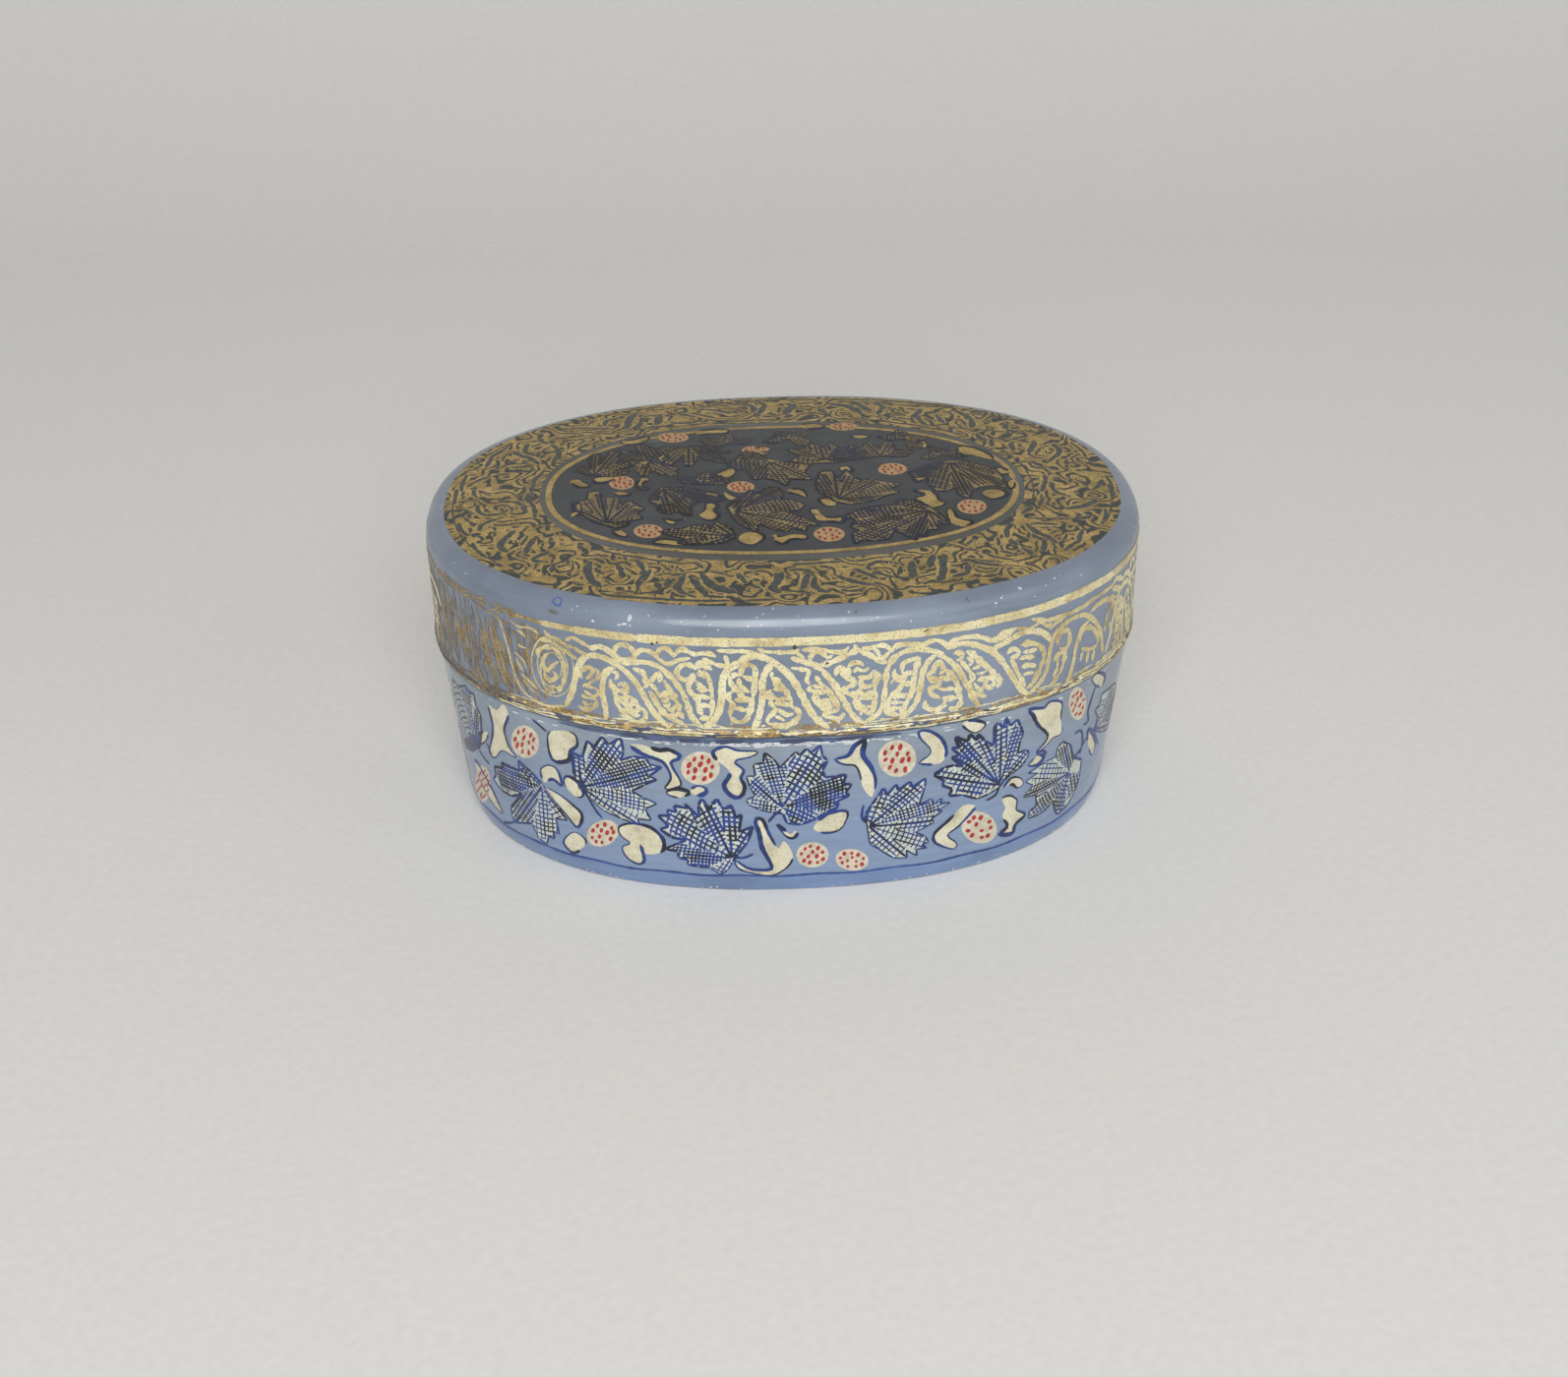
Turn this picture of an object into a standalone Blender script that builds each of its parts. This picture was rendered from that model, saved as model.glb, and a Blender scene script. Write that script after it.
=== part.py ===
"""An oval papier-mache trinket box with a lift-off lid, in metres, +Z up.

The origin is the middle of the underside. X runs along the oval's length and Y across it.
The body is a tapered wall glued on a base board, with a collar inside that stands above the rim.
The lid is an upright wall under a domed board, and drops over the collar.
Each piece follows the box's oval: its section, a list of (inset, height) points, is carried round it.
"""

import math

import bmesh
import bpy

MM = 0.001

# Outline of the whole box, over the lid's lip
LENGTH = 101.6 * MM
WIDTH = 77.2 * MM
OVAL_POWER = 2.24  # 2 is a true ellipse, and more is squarer
SEGMENTS = 80

# Clearances
GLUE_GAP = 0.3 * MM  # between two pieces that are glued face to face
SEAM_GAP = 0.3 * MM  # between the body's rim and the lid resting on it
LID_CLEARANCE = 0.4 * MM  # between the collar and the inside of the lid

# Body
BASE_THICKNESS = 2.9 * MM
BASE_CURL = 0.55 * MM  # how far the base board's edge curls in under the box
WALL_HEIGHT = 23.1 * MM
WALL = 2.6 * MM
BODY_TAPER = 2.7 * MM  # how much further in the body stands at the table than at its rim
RIM_SETBACK = 0.3 * MM  # body's rim, in from the lid's side

# Collar
COLLAR_WALL = 1.5 * MM
COLLAR_DEPTH = 9.0 * MM  # below the rim
COLLAR_RISE = 6.0 * MM  # above the rim

# Lid
LID_SIDE_HEIGHT = 15.2 * MM
LIP_PROUD = 0.25 * MM  # lip round the lid's lower edge, out from the lid's side
LIP_HEIGHT = 1.1 * MM
SHOULDER_RADIUS = 2.6 * MM
DOME_RISE = 1.2 * MM
BOARD_THICKNESS = 2.6 * MM  # domed board

# Softened edges
EDGE_ROUND = 0.35 * MM

# How curves are divided
ROUND_STEPS = 3
SHOULDER_STEPS = 5
WALL_STEPS = 3
DOME_SHARES = (0.85, 0.68, 0.5, 0.3, 0.1)  # rings of the dome, as shares of the way out to the shoulder
SHARP_DEGREES = 35  # edges that turn more than this are shaded sharp

# Colour (red, green, blue) and roughness
GROUND = ((0.20, 0.26, 0.38), 0.35)
GILDED = ((0.45, 0.38, 0.22), 0.35)
BOARD = ((0.05, 0.045, 0.045), 0.5)

# Heights that follow from the sizes above
WALL_FOOT = BASE_THICKNESS + GLUE_GAP
RIM = WALL_FOOT + WALL_HEIGHT
LID_EDGE = RIM + SEAM_GAP
SIDE_TOP = LID_EDGE + LID_SIDE_HEIGHT
BOARD_FOOT = SIDE_TOP + GLUE_GAP
DOME_EDGE = BOARD_FOOT + SHOULDER_RADIUS

# Insets from the outline that follow from the sizes above
LID_OUTER = LIP_PROUD
RIM_OUTER = LID_OUTER + RIM_SETBACK
COLLAR_OUTER = RIM_OUTER + WALL + GLUE_GAP
COLLAR_INNER = COLLAR_OUTER + COLLAR_WALL
LID_INNER = COLLAR_OUTER - LID_CLEARANCE


def body_outer(height):
    """Inset of the body's outside at a height."""
    return RIM_OUTER + BODY_TAPER * (1 - height / RIM)


def base_outer(height):
    """Inset of the base board's edge at a height. It carries on the body's taper and curls in below."""
    return body_outer(height) + BASE_CURL * (1 - height / BASE_THICKNESS) ** 2


def steps(start, end, count):
    """Evenly spaced values from start to end, both included."""
    return [start + (end - start) * i / count for i in range(count + 1)]


def arc(inset, height, radius, start, end, count=ROUND_STEPS):
    """Section points on an arc about (inset, height). Degrees run from 0 inward to 90 up."""
    angles = [math.radians(degrees) for degrees in steps(start, end, count)]
    return [(inset + radius * math.cos(a), height + radius * math.sin(a)) for a in angles]


def oval(half_length, half_width, height):
    """Points of a level oval, counter-clockwise seen from above."""
    points = []
    for i in range(SEGMENTS):
        turn = 2 * math.pi * i / SEGMENTS
        along, across = math.cos(turn), math.sin(turn)
        x = math.copysign(abs(along) ** (2 / OVAL_POWER), along) * half_length
        y = math.copysign(abs(across) ** (2 / OVAL_POWER), across) * half_width
        points.append((x, y, height))
    return points


def inset_oval(inset, height):
    """The box's outline at a height, drawn in by an inset."""
    return oval(LENGTH / 2 - inset, WIDTH / 2 - inset, height)


def dome_oval(share, edge_height):
    """An oval on a dome that starts at edge_height at the top of the shoulder."""
    inset = LID_OUTER + SHOULDER_RADIUS
    height = edge_height + DOME_RISE * (1 - share**2)
    return oval((LENGTH / 2 - inset) * share, (WIDTH / 2 - inset) * share, height)


def material(name, colour, roughness):
    """A plain painted finish."""
    made = bpy.data.materials.new(name)
    made.use_nodes = True
    shader = made.node_tree.nodes["Principled BSDF"]
    shader.inputs["Base Color"].default_value = (*colour, 1)
    shader.inputs["Roughness"].default_value = roughness
    shader.inputs["Metallic"].default_value = 0
    return made


def loft(name, finish, ovals, closed):
    """Joins ovals in order into one object: closed back on themselves as a ring, or capped at both ends."""
    mesh = bmesh.new()
    rows = [[mesh.verts.new(point) for point in points] for points in ovals]
    pairs = list(zip(rows, rows[1:]))
    if closed:
        pairs.append((rows[-1], rows[0]))
    else:
        mesh.faces.new(rows[0])
        mesh.faces.new(rows[-1])
    for lower, upper in pairs:
        for i in range(SEGMENTS):
            j = (i + 1) % SEGMENTS
            mesh.faces.new((lower[i], lower[j], upper[j], upper[i]))
    bmesh.ops.recalc_face_normals(mesh, faces=mesh.faces)
    data = bpy.data.meshes.new(name)
    mesh.to_mesh(data)
    mesh.free()
    data.shade_smooth()
    data.set_sharp_from_angle(angle=math.radians(SHARP_DEGREES))
    data.materials.append(material(name, *finish))
    piece = bpy.data.objects.new(name, data)
    bpy.context.scene.collection.objects.link(piece)
    return piece


def ring(name, finish, section):
    """A piece that is open in the middle, from its section's points in order."""
    return loft(name, finish, [inset_oval(*point) for point in section], closed=True)


def base_panel():
    """The board under the wall, which shows as a plain band round the foot."""
    edge = steps(EDGE_ROUND, BASE_THICKNESS - EDGE_ROUND, WALL_STEPS)
    section = [(base_outer(0) + EDGE_ROUND, 0)]
    section += [(base_outer(height), height) for height in edge]
    section.append((base_outer(BASE_THICKNESS) + EDGE_ROUND, BASE_THICKNESS))
    ovals = [inset_oval(*point) for point in section]
    return loft("base_panel", GROUND, ovals, closed=False)


def body_wall():
    """The tapered side of the body, as thick at its foot as at its rim."""
    foot, rim = WALL_FOOT + EDGE_ROUND, RIM - EDGE_ROUND
    section = arc(body_outer(foot) + EDGE_ROUND, foot, EDGE_ROUND, 270, 180)
    section += [(body_outer(height), height) for height in steps(foot, rim, WALL_STEPS)[1:-1]]
    section += arc(body_outer(rim) + EDGE_ROUND, rim, EDGE_ROUND, 180, 90)
    section.append((body_outer(RIM) + WALL, RIM))
    section.append((body_outer(WALL_FOOT) + WALL, WALL_FOOT))
    return ring("body_wall", GROUND, section)


def locating_collar():
    """The strip that keeps the lid in place: flat on the wall below the rim, and upright above it."""
    foot, top = RIM - COLLAR_DEPTH, RIM + COLLAR_RISE - EDGE_ROUND
    lean = body_outer(foot) - body_outer(RIM)
    section = [(COLLAR_OUTER + lean, foot), (COLLAR_OUTER, RIM)]
    section += arc(COLLAR_OUTER + EDGE_ROUND, top, EDGE_ROUND, 180, 90)
    section += arc(COLLAR_INNER - EDGE_ROUND, top, EDGE_ROUND, 90, 0)
    section += [(COLLAR_INNER, RIM), (COLLAR_INNER + lean, foot)]
    return ring("locating_collar", BOARD, section)


def lid_skirt():
    """The lid's upright side, with a thin lip round its lower edge."""
    section = [(LID_OUTER, LID_EDGE), (0, LID_EDGE + LIP_HEIGHT / 2), (LID_OUTER, LID_EDGE + LIP_HEIGHT)]
    section += [(LID_OUTER, SIDE_TOP), (LID_INNER, SIDE_TOP), (LID_INNER, LID_EDGE)]
    return ring("lid_skirt", GILDED, section)


def lid_top_panel():
    """The domed board on top of the lid, with a rounded shoulder. Its underside is domed alike."""
    under = [dome_oval(share, DOME_EDGE - BOARD_THICKNESS) for share in reversed(DOME_SHARES)]
    foot = inset_oval(LID_INNER, BOARD_FOOT)
    rounding = arc(LID_OUTER + SHOULDER_RADIUS, BOARD_FOOT, SHOULDER_RADIUS, 180, 90, SHOULDER_STEPS)
    shoulder = [inset_oval(*point) for point in rounding]
    dome = [dome_oval(share, DOME_EDGE) for share in DOME_SHARES]
    return loft("lid_top_panel", GILDED, [*under, foot, *shoulder, *dome], closed=False)


def main():
    for old in list(bpy.data.objects):
        bpy.data.objects.remove(old)
    base_panel()
    body_wall()
    locating_collar()
    lid_skirt()
    lid_top_panel()


main()
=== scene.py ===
import math
import random
from bisect import bisect_right

import bmesh
import bpy
from mathutils import Matrix, Vector, noise
from mathutils.geometry import delaunay_2d_cdt


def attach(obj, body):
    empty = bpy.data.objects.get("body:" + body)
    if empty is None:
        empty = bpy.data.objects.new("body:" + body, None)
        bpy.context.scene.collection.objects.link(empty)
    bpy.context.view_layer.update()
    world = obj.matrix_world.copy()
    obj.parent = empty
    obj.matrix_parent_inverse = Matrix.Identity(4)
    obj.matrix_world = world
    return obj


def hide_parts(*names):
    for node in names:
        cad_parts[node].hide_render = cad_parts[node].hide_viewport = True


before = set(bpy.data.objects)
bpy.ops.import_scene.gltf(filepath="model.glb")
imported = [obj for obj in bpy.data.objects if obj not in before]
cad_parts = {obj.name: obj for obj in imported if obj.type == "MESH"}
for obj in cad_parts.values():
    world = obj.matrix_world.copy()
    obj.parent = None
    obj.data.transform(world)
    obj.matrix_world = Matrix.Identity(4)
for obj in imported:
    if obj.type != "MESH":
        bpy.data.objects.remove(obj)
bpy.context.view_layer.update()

# Lengths below are in millimetres, and become metres where a mesh or lamp is made.
MM = 0.001

# Sizes that repeat the part's source
HALF_LENGTH = 50.8
HALF_WIDTH = 38.6
OVAL_POWER = 2.24
BASE_THICKNESS = 2.9
BASE_CURL = 0.55
RIM = 26.3
RIM_INSET = 0.55
TAPER = 2.7
WALL = 2.6
FLOOR_TOP = 3.2
COLLAR_FOOT = 17.3
LID_EDGE = 26.6
LIP_HEIGHT = 1.1
LID_INSET = 0.25
LID_INNER = 3.05
SHOULDER = 2.6
DOME_EDGE = 44.7
DOME_RISE = 1.2
BOARD = 2.6

# The lid's lip stands out a little less than the part's own, because the paper's waves come on top of it
LIP_STANDS = 0.18
LIP_CURVE = 0.6  # 1 is a half wave, and less is fuller

# Low waves that pressed paper keeps under its paint: their height, and about how many there are in a mm
WAVES = ((0.07, 0.07), (0.02, 0.35))
TOP_WAVES = 60  # the lid's top takes its waves as if it lay level at this height

# The photograph and the camera that took it, fitted to the box's outlines
PHOTO_WIDTH, PHOTO_HEIGHT = 1594, 1400
FOCAL_PIXELS = 2100
TILT, YAW, ROLL = 29.608, 2.44, -0.639
DISTANCE = 310.68
AIM_ACROSS, AIM_UP = -0.0904, 12.231
SENSOR = 36  # width of Blender's sensor, in mm
CLIP = (0.01, 20)  # in metres

# How a ray from the camera is followed to the box
SEARCH = range(200, 344, 3)  # distances tried, from before the box to behind it
HALVINGS = 16  # of the last step, for a side of the box
TOP_ROUNDS = 5  # for the domed top

# How finely surfaces and brush strokes are divided
ROUND_COUNT = 400
TABLE_COUNT = 2880
STROKE_STEP = 0.42
PATCH_STEP = 0.8

SEED = 7


def add_object(name, data):
    """Puts a mesh, lamp or camera into the scene."""
    made = bpy.data.objects.new(name, data)
    bpy.context.scene.collection.objects.link(made)
    return made


# Camera

def camera_place():
    """Camera position, in mm, and the turn from camera axes to the box's."""
    tilt = math.radians(TILT)
    spot = Vector((AIM_ACROSS, -DISTANCE * math.cos(tilt), AIM_UP + DISTANCE * math.sin(tilt)))
    yaw = Matrix.Rotation(math.radians(-YAW), 3, "Z")
    turn = yaw @ Matrix.Rotation(math.radians(90) - tilt, 3, "X")
    return yaw @ spot, turn @ Matrix.Rotation(math.radians(ROLL), 3, "Z")


EYE, EYE_TURN = camera_place()


def add_camera():
    """The camera that took the photograph."""
    data = bpy.data.cameras.new("camera")
    data.sensor_width = SENSOR
    data.lens = SENSOR * FOCAL_PIXELS / PHOTO_WIDTH
    data.clip_start, data.clip_end = CLIP
    camera = add_object("camera", data)
    camera.matrix_world = Matrix.Translation(EYE * MM) @ EYE_TURN.to_4x4()
    bpy.context.scene.camera = camera


def ray(pixel):
    """Direction from the camera through a pixel of the photograph."""
    across = (pixel[0] - PHOTO_WIDTH / 2) / FOCAL_PIXELS
    up = (PHOTO_HEIGHT / 2 - pixel[1]) / FOCAL_PIXELS
    return EYE_TURN @ Vector((across, up, -1))


# The box's surfaces

def oval_of(turn, half_length, half_width):
    """Point of an oval of the box's kind."""
    along, across = math.cos(turn), math.sin(turn)
    x = math.copysign(abs(along) ** (2 / OVAL_POWER), along) * half_length
    y = math.copysign(abs(across) ** (2 / OVAL_POWER), across) * half_width
    return x, y


def oval(turn, inset):
    """Point of the box's outline, drawn in by an inset."""
    return oval_of(turn, HALF_LENGTH - inset, HALF_WIDTH - inset)


def oval_reach(x, y, inset):
    """1 on the outline drawn in by an inset, less inside it and more outside."""
    return abs(x / (HALF_LENGTH - inset)) ** OVAL_POWER + abs(y / (HALF_WIDTH - inset)) ** OVAL_POWER


def turn_of(x, y, inset):
    """The turn at which an oval of this inset passes through a point."""
    along = math.copysign(abs(x / (HALF_LENGTH - inset)) ** (OVAL_POWER / 2), x)
    across = math.copysign(abs(y / (HALF_WIDTH - inset)) ** (OVAL_POWER / 2), y)
    turn = math.atan2(across, along)
    return turn - 2 * math.pi if turn > math.pi / 2 else turn


def arc_table():
    """Turns round the outline from the middle of the back, and the length run at each, 0 at the front."""
    turns = [math.radians(-270 + 360 * i / TABLE_COUNT) for i in range(TABLE_COUNT + 1)]
    points = [oval(turn, 0) for turn in turns]
    runs = [0.0]
    for here, there in zip(points, points[1:]):
        runs.append(runs[-1] + math.dist(here, there))
    return turns, [run - runs[-1] / 2 for run in runs]


TURNS, RUNS = arc_table()
ROUND = RUNS[-1] - RUNS[0]


def between(value, keys, values):
    """Straight-line reading of a table."""
    i = min(max(bisect_right(keys, value) - 1, 0), len(keys) - 2)
    share = (value - keys[i]) / (keys[i + 1] - keys[i])
    return values[i] + (values[i + 1] - values[i]) * share


def turn_at(run):
    """The turn at a length run round the outline, to the right from the middle of the front."""
    return between((run + ROUND / 2) % ROUND - ROUND / 2, RUNS, TURNS)


def body_inset(height):
    """Inset of the body's side, and of the edge of its base board, which curls in."""
    inset = RIM_INSET + TAPER * (1 - height / RIM)
    if height < BASE_THICKNESS:
        inset += BASE_CURL * (1 - height / BASE_THICKNESS) ** 2
    return inset


def lid_inset(height):
    """Inset of the lid's side, of the thin lip at its foot and of the round shoulder above it."""
    over = height - (DOME_EDGE - SHOULDER)
    if over > 0:
        return LID_INSET + SHOULDER - math.sqrt(max(SHOULDER**2 - over**2, 0))
    share = min(max((height - LID_EDGE) / LIP_HEIGHT, 0.0), 1.0)
    return LID_INSET - LIP_STANDS * math.sin(math.pi * share) ** LIP_CURVE


def uneven(x, y, height):
    """How far the pressed paper stands out at a point, by its low waves."""
    return sum(depth * noise.noise(Vector((x, y, height)) * pace) for depth, pace in WAVES)


def side_surface(inset_at):
    """Makes the function that places (run, height) on a side of the box, or lifted off it."""

    def place(run, height, lift=0.0):
        turn = turn_at(run)
        height = min(height, DOME_EDGE)
        inset = inset_at(height)
        inset = inset - uneven(*oval(turn, inset), height) - lift
        return Vector((*oval(turn, inset), height))

    return place


def dome_share(x, y):
    """How far out a point of the lid's top lies: 0 at its middle and 1 at the shoulder."""
    return oval_reach(x, y, LID_INSET + SHOULDER) ** (1 / OVAL_POWER)


def dome_height(x, y):
    return DOME_EDGE + DOME_RISE * (1 - dome_share(x, y) ** 2)


def on_lid_top(x, y, lift=0.0):
    """Places (x, y) on the lid's top, or lifted off it."""
    return Vector((x, y, dome_height(x, y) + uneven(x, y, TOP_WAVES) + lift))


def side_picker(inset_at):
    """Makes the function that turns a photo pixel into (run, height) on a side of the box."""

    def pick(pixel):
        step = ray(pixel)

        def outside(distance):
            x, y, height = EYE + step * distance
            return oval_reach(x, y, inset_at(height)) - 1

        near = min(SEARCH, key=lambda distance: (outside(distance) > 0, distance))
        if outside(near) > 0:
            near = min(SEARCH, key=outside)
        else:
            low, high = near - SEARCH.step, near
            for _ in range(HALVINGS):
                middle = (low + high) / 2
                low, high = (middle, high) if outside(middle) > 0 else (low, middle)
            near = high
        x, y, height = EYE + step * near
        return between(turn_of(x, y, inset_at(height)), TURNS, RUNS), height

    return pick


def pick_top(pixel):
    """(x, y) on the lid's top under a photo pixel."""
    step = ray(pixel)
    height = DOME_EDGE + DOME_RISE
    for _ in range(TOP_ROUNDS):
        spot = EYE + step * ((height - EYE.z) / step.z)
        height = dome_height(spot.x, spot.y)
    return spot.x, spot.y


on_body, pick_body = side_surface(body_inset), side_picker(body_inset)
on_lid_side, pick_lid_side = side_surface(lid_inset), side_picker(lid_inset)


# Materials

class Finish:
    """A procedural material while it is put together."""

    def __init__(self, name, roughness=0.4, metallic=0.0, coat=0.0, coat_roughness=0.1, specular=0.5):
        self.material = bpy.data.materials.new(name)
        self.material.use_nodes = True
        self.nodes = self.material.node_tree.nodes
        self.links = self.material.node_tree.links
        self.shader = self.nodes["Principled BSDF"]
        self.place = self.nodes.new("ShaderNodeTexCoord").outputs["Object"]
        self.set("Roughness", roughness)
        self.set("Metallic", metallic)
        self.set("Coat Weight", coat)
        self.set("Coat Roughness", coat_roughness)
        self.set("Specular IOR Level", specular)

    def set(self, socket, value):
        self.shader.inputs[socket].default_value = value

    def join(self, output, socket):
        self.links.new(output, self.shader.inputs[socket])

    def mapped(self, socket, values):
        """The object's coordinates, scaled or shifted."""
        node = self.nodes.new("ShaderNodeMapping")
        node.inputs[socket].default_value = values
        self.links.new(self.place, node.inputs["Vector"])
        return node.outputs["Vector"]

    def stretched(self, x, y, z):
        """Coordinates drawn out along some axes, for streaks."""
        return self.mapped("Scale", (x, y, z))

    def moved(self, away):
        """Coordinates shifted by this many mm, so that two noises of one size differ."""
        return self.mapped("Location", (away * MM, away * MM, away * MM))

    def noise(self, size, detail=3.0, roughness=0.55, place=None):
        """Cloudy noise whose lumps are about this many mm across."""
        node = self.nodes.new("ShaderNodeTexNoise")
        node.inputs["Scale"].default_value = 1 / (size * MM)
        node.inputs["Detail"].default_value = detail
        node.inputs["Roughness"].default_value = roughness
        self.links.new(place or self.place, node.inputs["Vector"])
        return node.outputs["Fac"]

    def contours(self, size, turns, share):
        """Curling lines, like the contours of hills this many mm across. share is how much is white."""
        value = self.noise(size, 1.5, 0.4)
        for operation, amount in (("MULTIPLY", turns), ("PINGPONG", 1.0)):
            node = self.nodes.new("ShaderNodeMath")
            node.operation = operation
            node.inputs[1].default_value = amount
            self.links.new(value, node.inputs[0])
            value = node.outputs["Value"]
        return self.ramp(value, [(share - 0.1, 1.0), (share + 0.1, 0.0)])

    def cells(self, size):
        """Distance from scattered points about this many mm apart."""
        node = self.nodes.new("ShaderNodeTexVoronoi")
        node.inputs["Scale"].default_value = 1 / (size * MM)
        self.links.new(self.place, node.inputs["Vector"])
        return node.outputs["Distance"]

    def below(self, low, high):
        """1 under the lower height and 0 over the upper one, in mm."""
        split = self.nodes.new("ShaderNodeSeparateXYZ")
        self.links.new(self.place, split.inputs["Vector"])
        node = self.nodes.new("ShaderNodeMapRange")
        self.links.new(split.outputs["Z"], node.inputs["Value"])
        limits = {"From Min": low * MM, "From Max": high * MM, "To Min": 1.0, "To Max": 0.0}
        for socket, value in limits.items():
            node.inputs[socket].default_value = value
        return node.outputs["Result"]

    def ramp(self, value, stops):
        """Colours, or greys, by value."""
        node = self.nodes.new("ShaderNodeValToRGB")
        band = node.color_ramp
        while len(band.elements) < len(stops):
            band.elements.new(0.5)
        for element, (position, colour) in zip(band.elements, stops):
            element.position = position
            element.color = (*colour, 1) if isinstance(colour, tuple) else (colour, colour, colour, 1)
        self.links.new(value, node.inputs["Fac"])
        return node.outputs["Color"]

    def mix(self, share, first, second, mode="MIX"):
        """Two colours mixed, where each value is a number, a colour or another node's output."""
        node = self.nodes.new("ShaderNodeMix")
        node.data_type = "RGBA"
        node.blend_type = mode
        for socket, value in ((0, share), (6, first), (7, second)):
            if isinstance(value, bpy.types.NodeSocket):
                self.links.new(value, node.inputs[socket])
            elif isinstance(value, tuple):
                node.inputs[socket].default_value = (*value, 1)
            else:
                node.inputs[socket].default_value = value
        return node.outputs[2]

    def bump(self, height, depth):
        """Raises the surface by up to this many mm where the height is 1, over the bumps it already has."""
        node = self.nodes.new("ShaderNodeBump")
        node.inputs["Distance"].default_value = depth * MM
        node.inputs["Strength"].default_value = 1.0
        self.links.new(height, node.inputs["Height"])
        if self.shader.inputs["Normal"].is_linked:
            self.links.new(self.shader.inputs["Normal"].links[0].from_socket, node.inputs["Normal"])
        self.links.new(node.outputs["Normal"], self.shader.inputs["Normal"])


def srgb(colour):
    """A colour as it reads on a screen, 0 to 255, in the renderer's linear values."""
    levels = [level / 255 for level in colour]
    return tuple(v / 12.92 if v <= 0.04045 else ((v + 0.055) / 1.055) ** 2.4 for v in levels)


TOP_SHINE = 0.42  # the lid's top has been handled until its lacquer is nearly matt
DULLNESS = 0.3  # added to the roughness of a surface that has lost all its shine


def lacquer(name, dark, middle, light, speck, low=None, shine=1.0):
    """Painted paper under clear lacquer: brush streaks round the box, clouds of age and small specks.

    low is a colour that it passes into further down the body.
    """
    made = Finish(name, coat=0.55 * shine, coat_roughness=0.12, specular=0.5 * shine)
    dull = DULLNESS * (1 - shine)
    streaks = made.noise(2.2, 4, 0.6, made.stretched(0.25, 0.25, 2.4))
    clouds = made.noise(16, 4)
    colour = made.ramp(clouds, [(0.3, srgb(dark)), (0.52, srgb(middle)), (0.75, srgb(light))])
    if low:
        colour = made.mix(made.below(12, 25), colour, srgb(low))
    strokes = made.ramp(streaks, [(0.3, 0.42), (0.7, 0.58)])
    colour = made.mix(0.55, colour, strokes, "OVERLAY")
    specks = made.ramp(made.cells(1.7), [(0.035, 1.0), (0.075, 0.0)])
    colour = made.mix(specks, colour, srgb(speck))
    made.join(colour, "Base Color")
    made.join(made.ramp(made.noise(5, 5), [(0.3, 0.3 + dull), (0.7, 0.48 + dull)]), "Roughness")
    made.bump(streaks, 0.03)
    made.bump(made.noise(0.5, 4), 0.012)
    return made.material


def gilding(name, pale, middle, worn, metallic, under, bare=0.42, scrolls=None, shine=1.0):
    """Gold paint from a nearly dry brush: metal powder with grains of the ground showing through it.

    under is the ground's colour, and more of it shows the higher bare is. scrolls are contours of ground.
    """
    made = Finish(name, metallic=metallic, coat=0.3 * shine, coat_roughness=0.2, specular=0.6 * shine)
    dull = DULLNESS * (1 - shine)
    clouds = made.noise(3.5, 5, 0.65)
    colour = made.ramp(clouds, [(0.3, srgb(worn)), (0.46, srgb(middle)), (0.66, srgb(pale))])
    grains = made.ramp(made.noise(0.3, 4, 0.75), [(0.36, 0.3), (0.66, 0.66)])
    colour = made.mix(0.8, colour, grains, "OVERLAY")
    gaps = made.ramp(made.noise(0.24, 3, 0.7, made.moved(7)), [(bare - 0.03, 1.0), (bare + 0.04, 0.0)])
    if scrolls:
        gaps = made.mix(1.0, made.contours(*scrolls), gaps, "LIGHTEN")
    made.join(made.mix(gaps, colour, srgb(under)), "Base Color")
    made.join(made.ramp(made.noise(0.5, 4), [(0.3, 0.28 + dull), (0.7, 0.6 + dull)]), "Roughness")
    made.bump(made.noise(0.3, 4, 0.7), 0.035)
    return made.material


def ink(name, deep, bright, size=7, shine=1.0):
    """Brush ink that runs from nearly black to blue, as the brush was loaded."""
    made = Finish(name, coat=0.35 * shine, coat_roughness=0.15, specular=0.5 * shine)
    made.join(made.ramp(made.noise(size, 2), [(0.42, srgb(deep)), (0.56, srgb(bright))]), "Base Color")
    made.join(made.ramp(made.noise(0.6), [(0.3, 0.3), (0.7, 0.5)]), "Roughness")
    made.bump(made.noise(0.4), 0.015)
    return made.material


def dab(name, thin, thick, shine=1.0):
    """Thick dabs of opaque paint."""
    made = Finish(name, coat=0.3 * shine, coat_roughness=0.2, specular=0.5 * shine)
    made.join(made.ramp(made.noise(0.9, 4), [(0.32, srgb(thin)), (0.62, srgb(thick))]), "Base Color")
    made.join(made.ramp(made.noise(0.5), [(0.3, 0.35), (0.7, 0.6)]), "Roughness")
    made.bump(made.noise(0.35, 3), 0.03)
    return made.material


def lining(name, dark, light, dust):
    """Black paint inside the box, with the ridges of a wide brush and some dust."""
    made = Finish(name, coat=0.15, coat_roughness=0.3)
    streaks = made.noise(1.6, 5, 0.6, made.stretched(0.2, 0.2, 2.0))
    colour = made.ramp(streaks, [(0.3, srgb(dark)), (0.7, srgb(light))])
    dusty = made.ramp(made.noise(7, 5), [(0.55, 0.0), (0.8, 0.35)])
    made.join(made.mix(dusty, colour, srgb(dust)), "Base Color")
    made.join(made.ramp(made.noise(3, 4), [(0.3, 0.4), (0.7, 0.62)]), "Roughness")
    made.bump(streaks, 0.06)
    made.bump(made.noise(0.6, 4), 0.03)
    return made.material


# Brush work

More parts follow.
